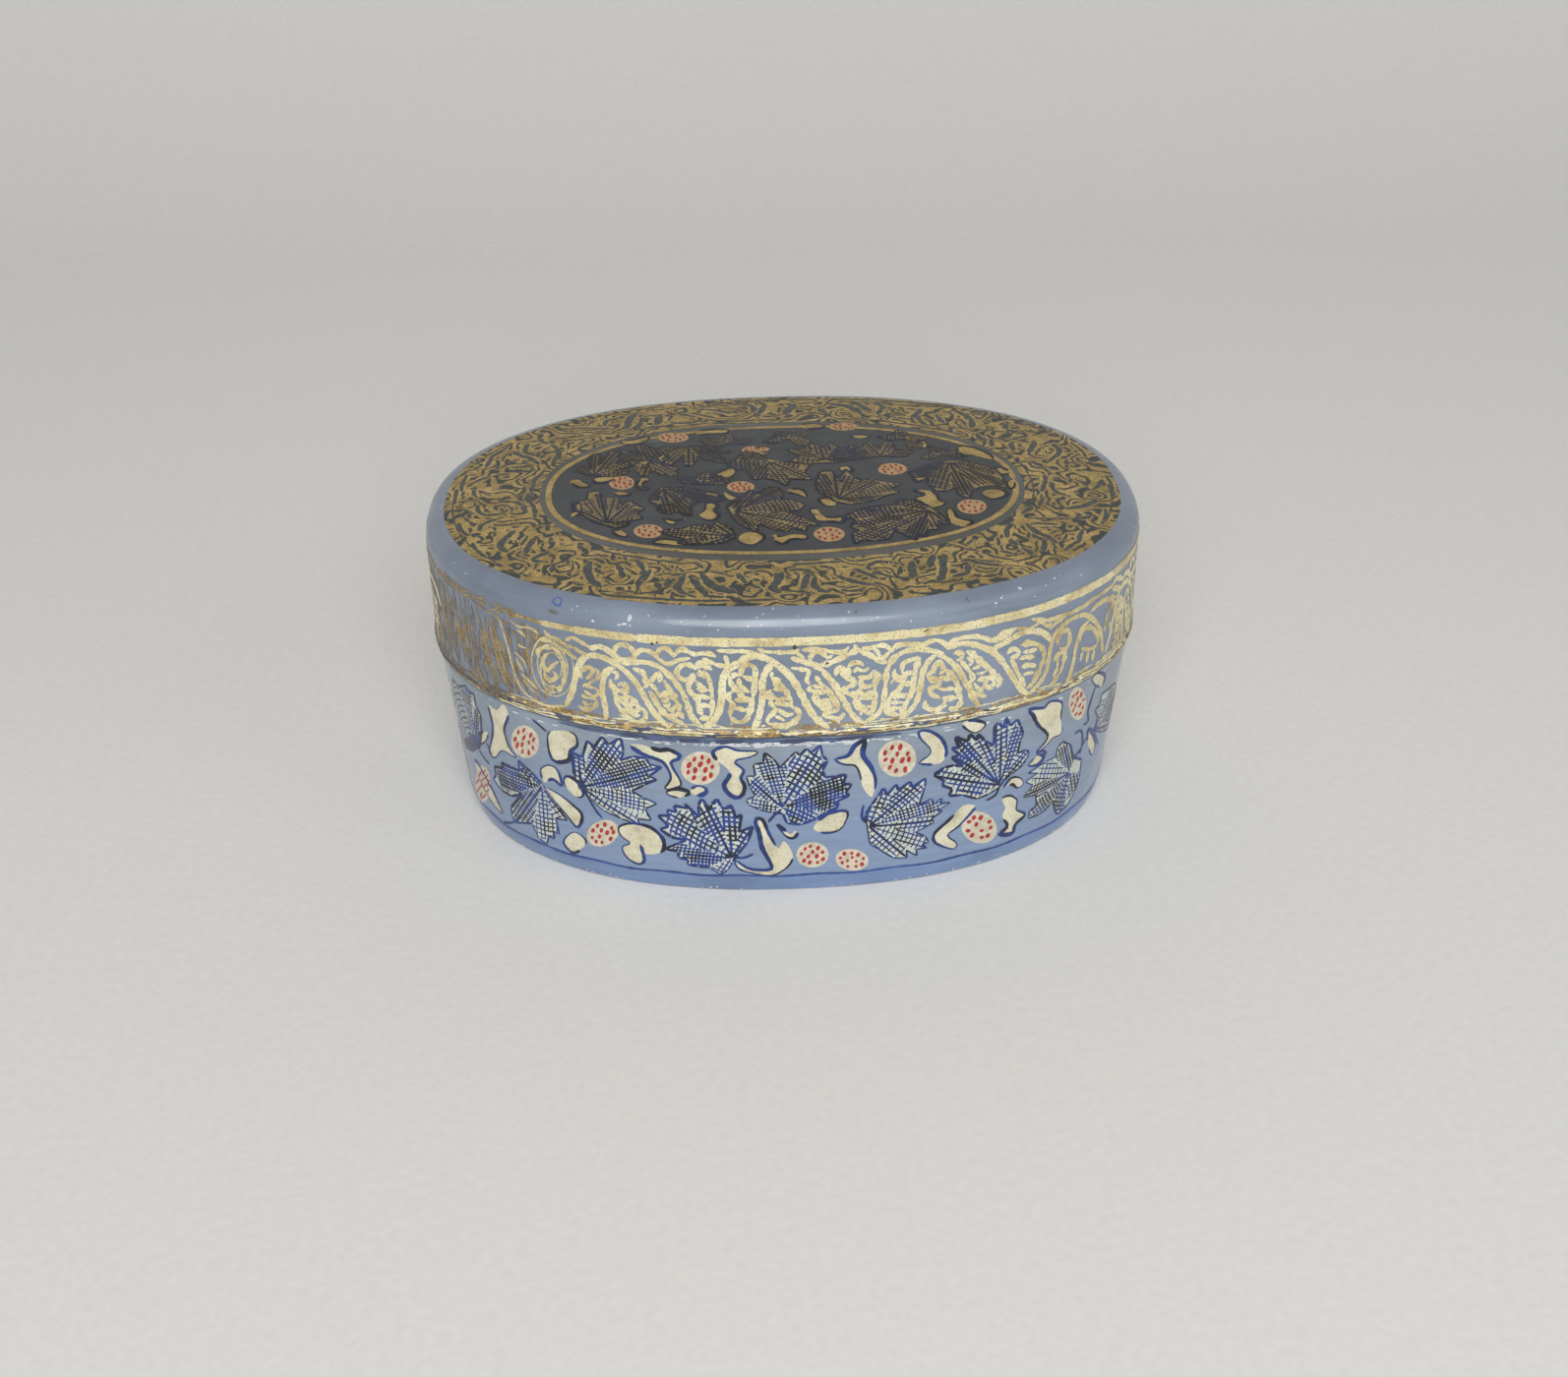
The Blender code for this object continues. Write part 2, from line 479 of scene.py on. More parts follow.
# How far off the surface each coat stands: what is painted over another coat stands higher
GROUND_LIFT = 0.035
FRUIT_LIFT = 0.04
RIB_LIFT = 0.055
BAR_LIFT = 0.06
VEIN_LIFT = 0.063
INK_LIFT = 0.065
SEED_LIFT = 0.07
BLOT_LIFT = 0.07
LINE_LIFT = 0.05  # of a stroke that gives none of its own
EDGE_DROP = 0.015  # how much thinner paint is at its edge

# How a stroke's width wavers
SHAKE_PACE = 1.3  # waves in a mm or so
PRESS_SWING = 6.3  # radians of the brush's pressing over a whole stroke
BLUNT = 0.05  # share of the width that is left at the very end, squared

# Where a patch's inner points lie
PATCH_SCATTER = 0.1
PATCH_CLEARANCE = 0.45  # from its edge, as a share of their distance


def curve(points, step, closed=False):
    """Points about one step apart on a smooth curve through the given ones."""
    if len(points) < 3 and not closed:
        count = max(2, round(math.dist(points[0], points[-1]) / step))
        (ax, ay), (bx, by) = points[0], points[-1]
        return [(ax + (bx - ax) * i / count, ay + (by - ay) * i / count) for i in range(count + 1)]
    if closed:
        ring = [points[-1], *points, points[0], points[1]]
    else:
        ring = [points[0], *points, points[-1]]
    smooth = []
    for a, b, c, d in zip(ring, ring[1:], ring[2:], ring[3:]):
        count = max(1, round(math.dist(b, c) / step))
        for i in range(count):
            t = i / count
            weights = (
                -0.5 * t + t**2 - 0.5 * t**3,
                1 - 2.5 * t**2 + 1.5 * t**3,
                0.5 * t + 2 * t**2 - 1.5 * t**3,
                -0.5 * t**2 + 0.5 * t**3,
            )
            smooth.append(tuple(sum(w * p[k] for w, p in zip(weights, (a, b, c, d))) for k in (0, 1)))
    if not closed:
        smooth.append(points[-1])
    return smooth


class Painting:
    """Brush work on one surface. Each paint becomes one thin raised mesh."""

    def __init__(self, name, surface, body, slot, seed):
        self.name, self.surface, self.body, self.slot = name, surface, body, slot
        self.random = random.Random(seed)
        self.layers = {}

    def layer(self, paint):
        return self.layers.setdefault(paint, ([], []))

    def stroke(self, paint, points, width, lift=LINE_LIFT, ends=1.0, step=STROKE_STEP, shake=0.14, press=0.0):
        """A line of paint: thickest along its middle, drawn in at its two ends, and broader where pressed."""
        if len(points) < 2:
            return
        path = curve(points, step)
        if len(path) < 3:
            path = curve([points[0], points[-1]], math.dist(points[0], points[-1]) / 3)
        verts, faces = self.layer(paint)
        runs = [0.0]
        for here, there in zip(path, path[1:]):
            runs.append(runs[-1] + math.dist(here, there))
        phase = self.random.uniform(0, 100)
        first = len(verts)
        for i, (u, v) in enumerate(path):
            ahead, behind = path[min(i + 1, len(path) - 1)], path[max(i - 1, 0)]
            du, dv = ahead[0] - behind[0], ahead[1] - behind[1]
            size = math.hypot(du, dv) or 1.0
            to_end = min(runs[i], runs[-1] - runs[i]) / (width * ends)
            swell = 1 + shake * noise.noise(Vector((runs[i] * SHAKE_PACE, phase, 0))) * 2
            swell *= 1 + press * math.sin(phase + PRESS_SWING * runs[i] / runs[-1])
            half = width / 2 * swell * math.sqrt(min(1.0, to_end + BLUNT))
            left, right = (-dv / size * half, du / size * half), (dv / size * half, -du / size * half)
            verts.append(self.surface(u + left[0], v + left[1], lift - EDGE_DROP))
            verts.append(self.surface(u, v, lift))
            verts.append(self.surface(u + right[0], v + right[1], lift - EDGE_DROP))
        for i in range(first, len(verts) - 3, 3):
            faces.append((i + 2, i + 5, i + 4, i + 1))
            faces.append((i + 1, i + 4, i + 3, i))

    def patch(self, paint, outline, lift):
        """A filled shape, a little higher inside than at its edge."""
        right, high = max(u for u, _ in outline), max(v for _, v in outline)
        border = [Vector(point) for point in outline]
        points = list(border)
        clearance = PATCH_STEP * PATCH_CLEARANCE
        u = min(u for u, _ in outline) + PATCH_STEP / 2
        while u < right:
            v = min(v for _, v in outline) + PATCH_STEP / 2
            while v < high:
                aside = self.random.uniform(-PATCH_SCATTER, PATCH_SCATTER)
                spot = Vector((u + aside, v + self.random.uniform(-PATCH_SCATTER, PATCH_SCATTER)))
                if inside(spot, outline) and all((spot - point).length > clearance for point in border):
                    points.append(spot)
                v += PATCH_STEP
            u += PATCH_STEP
        loop = list(range(len(outline)))
        flat, _, triangles, origins, _, _ = delaunay_2d_cdt(points, [], [loop], 1, 1e-6)
        verts, faces = self.layer(paint)
        first = len(verts)
        for spot, origin in zip(flat, origins):
            edge = not origin or min(origin) < len(outline)
            verts.append(self.surface(spot.x, spot.y, lift - (EDGE_DROP if edge else 0)))
        for triangle in triangles:
            faces.append(tuple(first + i for i in triangle))

    def make_pieces(self, finishes, finish_names):
        """One piece for each paint that was used."""
        for paint, (verts, faces) in self.layers.items():
            data = bpy.data.meshes.new(f"{self.name}_{paint}")
            data.from_pydata([vert * MM for vert in verts], [], faces)
            data.shade_smooth()
            data.materials.append(finishes[finish_names[paint]])
            piece = add_object(f"{self.name}_{paint}", data)
            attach(piece, self.body)


def inside(spot, outline):
    """Whether a point lies inside an outline."""
    crossings = False
    for (ax, ay), (bx, by) in zip(outline, outline[1:] + outline[:1]):
        if (ay > spot.y) != (by > spot.y) and spot.x < (bx - ax) * (spot.y - ay) / (by - ay) + ax:
            crossings = not crossings
    return crossings


def ellipse(centre, along, across, degrees=0.0, count=18):
    """Points of an ellipse, turned by an angle."""
    angle = math.radians(degrees)
    points = []
    for i in range(count):
        turn = 2 * math.pi * i / count
        x, y = along * math.cos(turn), across * math.sin(turn)
        u = centre[0] + x * math.cos(angle) - y * math.sin(angle)
        points.append((u, centre[1] + x * math.sin(angle) + y * math.cos(angle)))
    return points


def wander(run, pace, row, third):
    """A slow wave along a line that goes round the box, from -1 to 1."""
    return noise.noise(Vector((run * pace, row, third)))


# Motifs

OUTER_HALF = 0.7  # radians from the tip of a leaf's outermost lobe to its free side
RIB_HALF = 0.8  # most radians from a lobe's axis that its ribs and bars fill
STALK = 1.3  # length and width of the thick end of a leaf's stalk
STALK_WIDTH = 0.6

# Seeds in the middle of a berry, as shares of its half sizes, and how many lie round them
TWO_SEEDS = [(-0.2, 0.1), (0.2, -0.12)]
THREE_SEEDS = [(-0.26, -0.12), (0.0, 0.24), (0.26, -0.1)]
OUTER_SEEDS = 9
SEED_HALF = (0.1, 0.17)


def polar(centre, angle, radius):
    return centre[0] + radius * math.cos(angle), centre[1] + radius * math.sin(angle)


class Leaf:
    """A plane-tree leaf: its outline, the end of its stalk and the tips of its lobes."""

    def __init__(self, base, tips, outline):
        self.base, self.outline = base, outline
        angles = [math.atan2(v - base[1], u - base[0]) for u, v in tips]
        middle = math.atan2(sum(math.sin(a) for a in angles), sum(math.cos(a) for a in angles))
        swings = [((a - middle + math.pi) % (2 * math.pi) - math.pi, tip) for a, tip in zip(angles, tips)]
        self.lobes = [(middle + swing, math.dist(base, tip)) for swing, tip in sorted(swings)]
        turns = [angle for angle, _ in self.lobes]
        halves = [(b - a) / 2 for a, b in zip(turns, turns[1:])]
        self.halves = list(zip([OUTER_HALF, *halves], [*halves, OUTER_HALF]))

    def spot(self, lobe, along, across):
        """A point so many mm along a lobe's axis and across it, to the left."""
        angle, _ = self.lobes[lobe]
        u = self.base[0] + along * math.cos(angle) - across * math.sin(angle)
        return u, self.base[1] + along * math.sin(angle) + across * math.cos(angle)

    def inside_run(self, points):
        """The longest stretch of a line's points that lies inside the outline."""
        best, run = [], []
        for point in points:
            run = [*run, point] if inside(Vector(point), self.outline) else []
            if len(run) > len(best):
                best = run
        return best


def paint_leaf(work, leaf, fill, dark, fine, line=0.38, hatch=0.26, spacing=0.76):
    """A leaf: pale ground, toothed outline in ink, and in each lobe fine ribs and bars that cross them.

    Every line is heavier towards one side of the leaf, as if the brush had been pressed there.
    """
    pick = work.random
    work.patch(fill, leaf.outline, GROUND_LIFT)
    heavy = pick.uniform(0, 2 * math.pi)
    for first, last in zip(leaf.outline, leaf.outline[1:] + leaf.outline[:1]):
        angle = math.atan2(first[1] - leaf.base[1], first[0] - leaf.base[0])
        width = line * (0.95 + 0.35 * math.cos(angle - heavy)) * pick.uniform(0.85, 1.15)
        work.stroke(dark, [first, last], width, INK_LIFT, ends=0.35, step=0.25)
    for lobe, (turn, reach) in enumerate(leaf.lobes):
        width = hatch * (1.05 + 0.25 * math.cos(turn - heavy))
        close = spacing * pick.choice((0.72, 0.85, 1.0, 1.05))
        hatch_lobe(work, leaf, lobe, fine, width, close)
        if lobe % 2 == 0:
            vein = [leaf.spot(lobe, reach * i / 8, 0) for i in range(9)]
            work.stroke(dark, leaf.inside_run(vein), hatch * 1.5, VEIN_LIFT, step=0.6)
    middle_turn, _ = leaf.lobes[len(leaf.lobes) // 2]
    work.stroke(dark, [leaf.base, polar(leaf.base, middle_turn, STALK)], STALK_WIDTH, INK_LIFT)


def hatch_lobe(work, leaf, lobe, paint, width, close):
    """Ribs along a lobe of a leaf and slightly bent bars across it, both about this close."""
    pick = work.random
    _, reach = leaf.lobes[lobe]
    right, left = (min(half, RIB_HALF) for half in leaf.halves[lobe])
    rib = -math.floor(reach * 0.7 * math.sin(right) / close)
    while rib * close < reach * 0.7 * math.sin(left):
        across = rib * close + pick.uniform(-0.06, 0.06)
        start = abs(across) / math.tan(left if across > 0 else right) + 0.2
        points = [leaf.spot(lobe, start + (reach * 1.03 - start) * i / 15, across) for i in range(16)]
        work.stroke(paint, leaf.inside_run(points), width * pick.uniform(0.8, 1.25), RIB_LIFT, step=0.6)
        rib += 1
    slant, along = pick.uniform(-0.3, 0.3), 0.9
    while along < reach:
        low, high = -along * math.tan(right), along * math.tan(left)
        offsets = [low + (high - low) * i / 12 for i in range(13)]
        points = [leaf.spot(lobe, along + slant * v - 0.05 * v * v, v) for v in offsets]
        work.stroke(paint, leaf.inside_run(points), width * pick.uniform(0.8, 1.3), BAR_LIFT, step=0.6)
        along += close * pick.uniform(0.85, 1.2)


def berry_outline(pick, middle, across, up, degrees=0.0):
    """Makes the function that outlines a berry or a seed on it, told as shares of the berry's half sizes.

    The berry itself is an ellipse in pixels of the photo, turned by an angle, and pick places a pixel.
    """
    spin = math.radians(degrees)

    def outline(u, v, long, tall, turn):
        points = []
        for x, y in ellipse((u * across, v * up), long * across, tall * up, turn, 18 if long > 0.5 else 8):
            right = x * math.cos(spin) - y * math.sin(spin)
            points.append(pick((middle[0] + right, middle[1] - (x * math.sin(spin) + y * math.cos(spin)))))
        return points

    return outline


def paint_berry(work, outline_of, fill, dots):
    """A pale round fruit with slanting red seeds: one ring of them about two or three in the middle."""
    work.patch(fill, outline_of(0, 0, 1, 1, 0), FRUIT_LIFT)
    spots = list(THREE_SEEDS if work.random.random() < 0.5 else TWO_SEEDS)
    turn = work.random.uniform(0, 1)
    for i in range(OUTER_SEEDS):
        angle = turn + 2 * math.pi * i / OUTER_SEEDS + work.random.uniform(-0.12, 0.12)
        away = work.random.uniform(0.6, 0.72)
        spots.append((away * math.cos(angle), away * math.sin(angle)))
    for u, v in spots:
        size = work.random.uniform(0.85, 1.3)
        slant = work.random.uniform(-50, -5)
        work.patch(dots, outline_of(u, v, SEED_HALF[0] * size, SEED_HALF[1] * size, slant), SEED_LIFT)


def paint_blob(work, outline, fill, dark, line=0.36):
    """A small gold shape with an outline that is broader on one side and broken somewhere."""
    smooth = curve(outline, 0.35, closed=True)
    work.patch(fill, smooth, GROUND_LIFT)
    start = work.random.randrange(len(smooth))
    loop = smooth[start:] + smooth[:start]
    stop = max(3, round(len(loop) * work.random.uniform(0.8, 0.98)))
    work.stroke(dark, loop[:stop:2], line * work.random.uniform(0.9, 1.5), INK_LIFT, press=0.5)


# The body's pattern, by pixels of the photo

# Leaves: end of the stalk, tips of the lobes, and the toothed outline
BODY_LEAVES = (
    ((591, 800), ((588, 768), (622, 752), (671, 780), (664, 818), (648, 837)),
     ((590, 803), (584, 788), (581, 765), (592, 770), (597, 753), (604, 759), (612, 749), (619, 757),
      (631, 750), (634, 764), (631, 773), (643, 769), (657, 771), (660, 777), (673, 780), (660, 789),
      (668, 793), (655, 798), (642, 804), (654, 811), (668, 817), (656, 822), (662, 834), (648, 832),
      (651, 839), (632, 832), (614, 824), (600, 812))),
    ((744, 872), ((678, 866), (671, 832), (714, 813), (740, 818), (764, 842), (733, 888)),
     ((745, 876), (740, 884), (733, 889), (722, 882), (710, 881), (699, 879), (700, 874), (690, 872),
      (689, 866), (676, 863), (690, 857), (698, 854), (682, 851), (671, 843), (680, 840), (669, 829),
      (680, 829), (678, 823), (688, 826), (685, 819), (700, 822), (696, 817), (711, 831), (710, 819),
      (713, 812), (718, 817), (720, 825), (724, 818), (729, 812), (733, 820), (737, 823), (743, 818),
      (748, 831), (754, 828), (751, 846), (766, 840), (760, 856), (750, 868))),
    ((795, 821), ((763, 816), (763, 793), (778, 767), (833, 760), (864, 800), (826, 835)),
     ((796, 827), (785, 826), (772, 823), (761, 818), (759, 813), (768, 809), (762, 800), (759, 789),
      (768, 789), (766, 777), (776, 775), (777, 765), (786, 771), (793, 780), (803, 770), (809, 764),
      (813, 768), (820, 761), (825, 765), (834, 757), (836, 768), (841, 773), (836, 783), (839, 790),
      (850, 789), (860, 787), (857, 797), (866, 797), (859, 806), (864, 808), (850, 815), (852, 820),
      (840, 826), (830, 832), (815, 838), (800, 837))),
    ((883, 840), ((898, 803), (937, 794), (963, 816), (948, 834), (942, 857), (921, 871)),
     ((881, 836), (880, 828), (886, 818), (892, 810), (898, 801), (902, 808), (911, 797), (913, 803),
      (925, 794), (927, 800), (941, 791), (940, 800), (934, 818), (947, 812), (949, 818), (957, 811),
      (957, 816), (966, 816), (952, 824), (958, 824), (947, 832), (949, 836), (930, 846), (940, 850),
      (944, 856), (937, 858), (942, 862), (931, 863), (932, 870), (921, 864), (922, 872), (908, 872),
      (893, 863), (884, 858))),
    ((1016, 798), ((952, 789), (969, 769), (974, 752), (993, 749), (1018, 734), (1036, 736), (1045, 764)),
     ((1016, 800), (1005, 807), (993, 812), (978, 808), (964, 809), (968, 802), (957, 798), (960, 794),
      (949, 788), (960, 780), (970, 778), (979, 779), (967, 770), (976, 768), (967, 760), (975, 760),
      (971, 749), (984, 754), (986, 746), (993, 753), (994, 746), (1001, 753), (1010, 758), (1011, 737),
      (1015, 735), (1020, 740), (1023, 729), (1027, 738), (1034, 731), (1037, 738), (1040, 746),
      (1037, 752), (1034, 766), (1043, 762), (1046, 766), (1040, 777), (1028, 787), (1020, 794))),
    ((551, 800), ((529, 777), (506, 783), (526, 835), (555, 856), (575, 832)),
     ((551, 797), (540, 785), (527, 773), (529, 784), (520, 780), (510, 775), (512, 781), (503, 779),
      (505, 788), (502, 792), (510, 803), (520, 809), (531, 808), (520, 821), (521, 829), (524, 836),
      (541, 837), (548, 852), (556, 858), (558, 850), (564, 853), (563, 845), (569, 848), (565, 832),
      (577, 834), (568, 820), (560, 809))),
    ((1087, 785), ((1081, 757), (1047, 786), (1042, 809), (1047, 829), (1074, 825), (1090, 806)),
     ((1091, 770), (1088, 757), (1080, 754), (1075, 760), (1073, 769), (1062, 775), (1045, 786),
      (1055, 786), (1042, 795), (1050, 798), (1040, 811), (1053, 808), (1053, 820), (1047, 824),
      (1045, 832), (1056, 828), (1064, 822), (1070, 813), (1072, 824), (1075, 828), (1085, 818),
      (1092, 805), (1097, 790), (1099, 772))),
    ((484, 762), ((462, 692), (474, 699), (486, 724), (467, 735)),
     ((487, 761), (490, 748), (489, 727), (484, 718), (482, 706), (476, 702), (473, 697), (466, 698),
      (460, 690), (461, 704), (463, 716), (462, 726), (467, 738), (470, 750), (474, 759))),
    ((1112, 741), ((1118, 714), (1132, 697), (1134, 712), (1128, 734)),
     ((1112, 743), (1116, 730), (1113, 722), (1118, 716), (1120, 706), (1127, 700), (1133, 694),
      (1136, 704), (1134, 716), (1130, 728), (1127, 738), (1120, 744))),
)

# Where the ink of the leftmost leaf's stalk has run together
INK_BLOT = ((472, 751), (480, 746), (488, 750), (489, 759), (481, 765), (474, 761))

# Berries: middle, half width and half height, turn in degrees
BODY_BERRIES = (
    ((534, 754), 14, 17, 15),
    ((613, 847), 17, 13, 25),
    ((712, 781), 20, 17, 0),
    ((912, 771), 19.5, 19, 0),
    ((826, 869), 16.5, 13, 0),
    ((866, 874), 17, 11, -6),
    ((995, 841), 19, 16, -25),
    ((1095, 715), 9, 17, 0),
    ((491, 797), 8, 19, 0),
)

# Small gold shapes between them
BODY_BLOBS = (
    ((497, 717), (505, 722), (512, 716), (517, 727), (513, 740), (514, 748), (518, 760), (525, 770),
     (511, 763), (504, 770), (498, 765), (501, 748), (501, 735)),
    ((559, 744), (582, 745), (587, 757), (580, 764), (578, 773), (564, 774), (558, 762)),
    ((550, 782), (559, 778), (566, 782), (570, 791), (571, 799), (562, 792), (553, 795)),
    ((574, 790), (582, 791), (592, 801), (592, 810), (584, 809), (575, 799)),
    ((555, 802), (569, 808), (583, 819), (592, 829), (587, 841), (575, 827)),
    ((573, 856), (584, 846), (596, 856), (584, 867)),
    ((483, 773), (494, 790), (511, 826), (500, 815), (488, 792)),
    ((641, 758), (651, 757), (671, 763), (679, 762), (691, 768), (689, 772), (682, 776), (692, 795),
     (689, 800), (676, 802), (682, 791), (676, 777), (668, 772), (654, 767)),
    ((677, 806), (689, 802), (701, 806), (690, 811)),
    ((701, 805), (709, 799), (719, 803), (711, 809)),
    ((725, 764), (738, 759), (750, 763), (770, 764), (764, 769), (747, 774), (756, 783), (753, 791),
     (757, 799), (754, 809), (745, 810), (736, 799), (742, 788), (739, 781), (729, 773)),
    ((629, 841), (642, 837), (661, 841), (674, 853), (673, 866), (657, 868), (652, 859), (655, 875),
     (648, 878), (637, 871), (633, 861), (641, 857), (632, 850)),
    ((768, 834), (775, 833), (782, 848), (791, 862), (797, 855), (805, 866), (805, 875), (797, 884),
     (782, 890), (753, 884), (748, 875), (762, 883), (782, 884), (784, 879), (775, 862), (772, 848)),
    ((790, 838), (803, 848), (807, 845), (811, 846), (807, 852), (799, 850)),
    ((827, 841), (840, 828), (856, 824), (862, 827), (856, 841), (846, 846), (834, 846)),
    ((849, 772), (862, 768), (869, 758), (879, 753), (877, 767), (886, 781), (890, 795), (886, 810),
     (877, 800), (874, 787), (869, 778), (858, 777)),
    ((934, 744), (944, 743), (957, 751), (962, 765), (955, 776), (934, 776), (943, 769), (946, 762),
     (936, 751)),
    ((979, 819), (991, 819), (988, 825), (974, 840), (963, 849), (972, 857), (969, 863), (951, 857),
     (950, 847), (964, 834)),
    ((978, 737), (987, 732), (1002, 736), (991, 745)),
    ((1046, 721), (1062, 719), (1067, 713), (1079, 714), (1078, 728), (1079, 745), (1070, 750),
     (1062, 759), (1053, 765), (1065, 749), (1055, 737), (1050, 727)),
    ((1045, 778), (1055, 768), (1061, 769), (1055, 777)),
    ((1018, 812), (1027, 809), (1034, 814), (1033, 823), (1042, 828), (1032, 838), (1029, 847),
     (1016, 848), (1024, 840), (1019, 830), (1022, 821)),
    ((1020, 801), (1028, 791), (1037, 791), (1040, 797), (1034, 801), (1028, 797)),
    ((1110, 690), (1116, 684), (1123, 687), (1120, 697), (1114, 697)),
    ((1106, 742), (1110, 745), (1113, 756), (1110, 768), (1106, 758)),
    ((488, 746), (496, 744), (495, 752), (489, 756)),
)

# Stalks and single lines of ink
BODY_STALKS = (
    ((1101, 737), (1106, 733), (1106, 722), (1111, 706), (1114, 697)),
    ((1092, 746), (1099, 743), (1100, 756), (1097, 767)),
    ((1104, 746), (1109, 741), (1114, 750), (1116, 757)),
    ((487, 762), (492, 770), (498, 777)),
    ((495, 755), (498, 762), (501, 768)),
    ((1064, 766), (1059, 763), (1053, 768)),
    ((592, 792), (596, 806), (606, 824), (613, 832)),
    ((744, 871), (756, 872), (766, 868)),
    ((795, 822), (786, 830), (781, 836)),
    ((881, 837), (876, 830), (878, 818)),
    ((1016, 798), (1012, 808), (1002, 814)),
    ((529, 829), (522, 836), (512, 836)),
    ((1092, 769), (1098, 762), (1104, 750)),
    ((541, 731), (549, 738), (556, 744)),
)

# The front's motifs are painted again round the back: how far on, and the runs that a copy stays between
REPEATS = ((111.5, 62.5, 147.0), (196.5, 147.0, 224.0))

STALK_LINE = 0.4  # width of the single lines of ink

# The thin line round the foot: height, depth of its waves, width
FOOT_LINE = (2.95, 0.12, 0.36)
FOOT_LINE_POINTS = 96

# Dark navy band on the body just under the seam, below the lid's overhanging lip: from and to which run,
# height and width
SEAM_BAND = (
    (-33.0, 14.0, 25.95, 0.62),
    (-24.0, 6.0, 25.6, 0.3),
    (58.0, 96.0, 25.95, 0.5),
    (118.0, 170.0, 25.95, 0.6),
    (190.0, 232.0, 25.9, 0.5),
)


def shifted(points, run):
    return [(u + run, v) for u, v in points]


def copies(points):
    """The shifts a motif is painted at: where the photo shows it, and again round the back where it fits."""
    low, high = min(u for u, _ in points), max(u for u, _ in points)
    yield 0.0
    for run, start, end in REPEATS:
        if start <= low + run and high + run <= end:
            yield run


def paint_body(work):
    """The band of leaves, berries and small shapes round the body, over one thin line."""
    for base, tips, outline in BODY_LEAVES:
        placed = [pick_body(pixel) for pixel in (base, *tips, *outline)]
        count = len(tips) + 1
        for run in copies(placed):
            spots = shifted(placed, run)
            paint_leaf(work, Leaf(spots[0], spots[1:count], spots[count:]), "silver", "ink", "hatch")
    for middle, across, up, degrees in BODY_BERRIES:
        outline_of = berry_outline(pick_body, middle, across, up, degrees)
        for run in copies([pick_body(middle)]):
            paint_berry(work, lambda *shape: shifted(outline_of(*shape), run), "cream", "red")
    for outline in BODY_BLOBS:
        placed = [pick_body(pixel) for pixel in outline]
        for run in copies(placed):
            paint_blob(work, shifted(placed, run)[::-1], "gold", "ink")
    work.patch("ink", [pick_body(pixel) for pixel in INK_BLOT], BLOT_LIFT)
    for pixels in BODY_STALKS:
        placed = [pick_body(pixel) for pixel in pixels]
        for run in copies(placed):
            work.stroke("ink", shifted(placed, run), STALK_LINE, lift=0.06)
    height, depth, width = FOOT_LINE
    whole = []
    for i in range(FOOT_LINE_POINTS + 1):
        whole.append((-ROUND / 2 + ROUND * i / FOOT_LINE_POINTS, height + depth * math.sin(i * 1.7)))
    work.stroke("line", whole, width, step=0.8, shake=0.3)
    for start, end, height, width in SEAM_BAND:
        count = round((end - start) / 1.5)
        runs = [start + (end - start) * i / count for i in range(count + 1)]
        band = [(run, height + 0.1 * wander(run, 0.3, height, 4)) for run in runs]
        work.stroke("navy", band, width, lift=0.03, ends=6, step=0.7, shake=0.12)


# The lid's side, by pixels of the photo

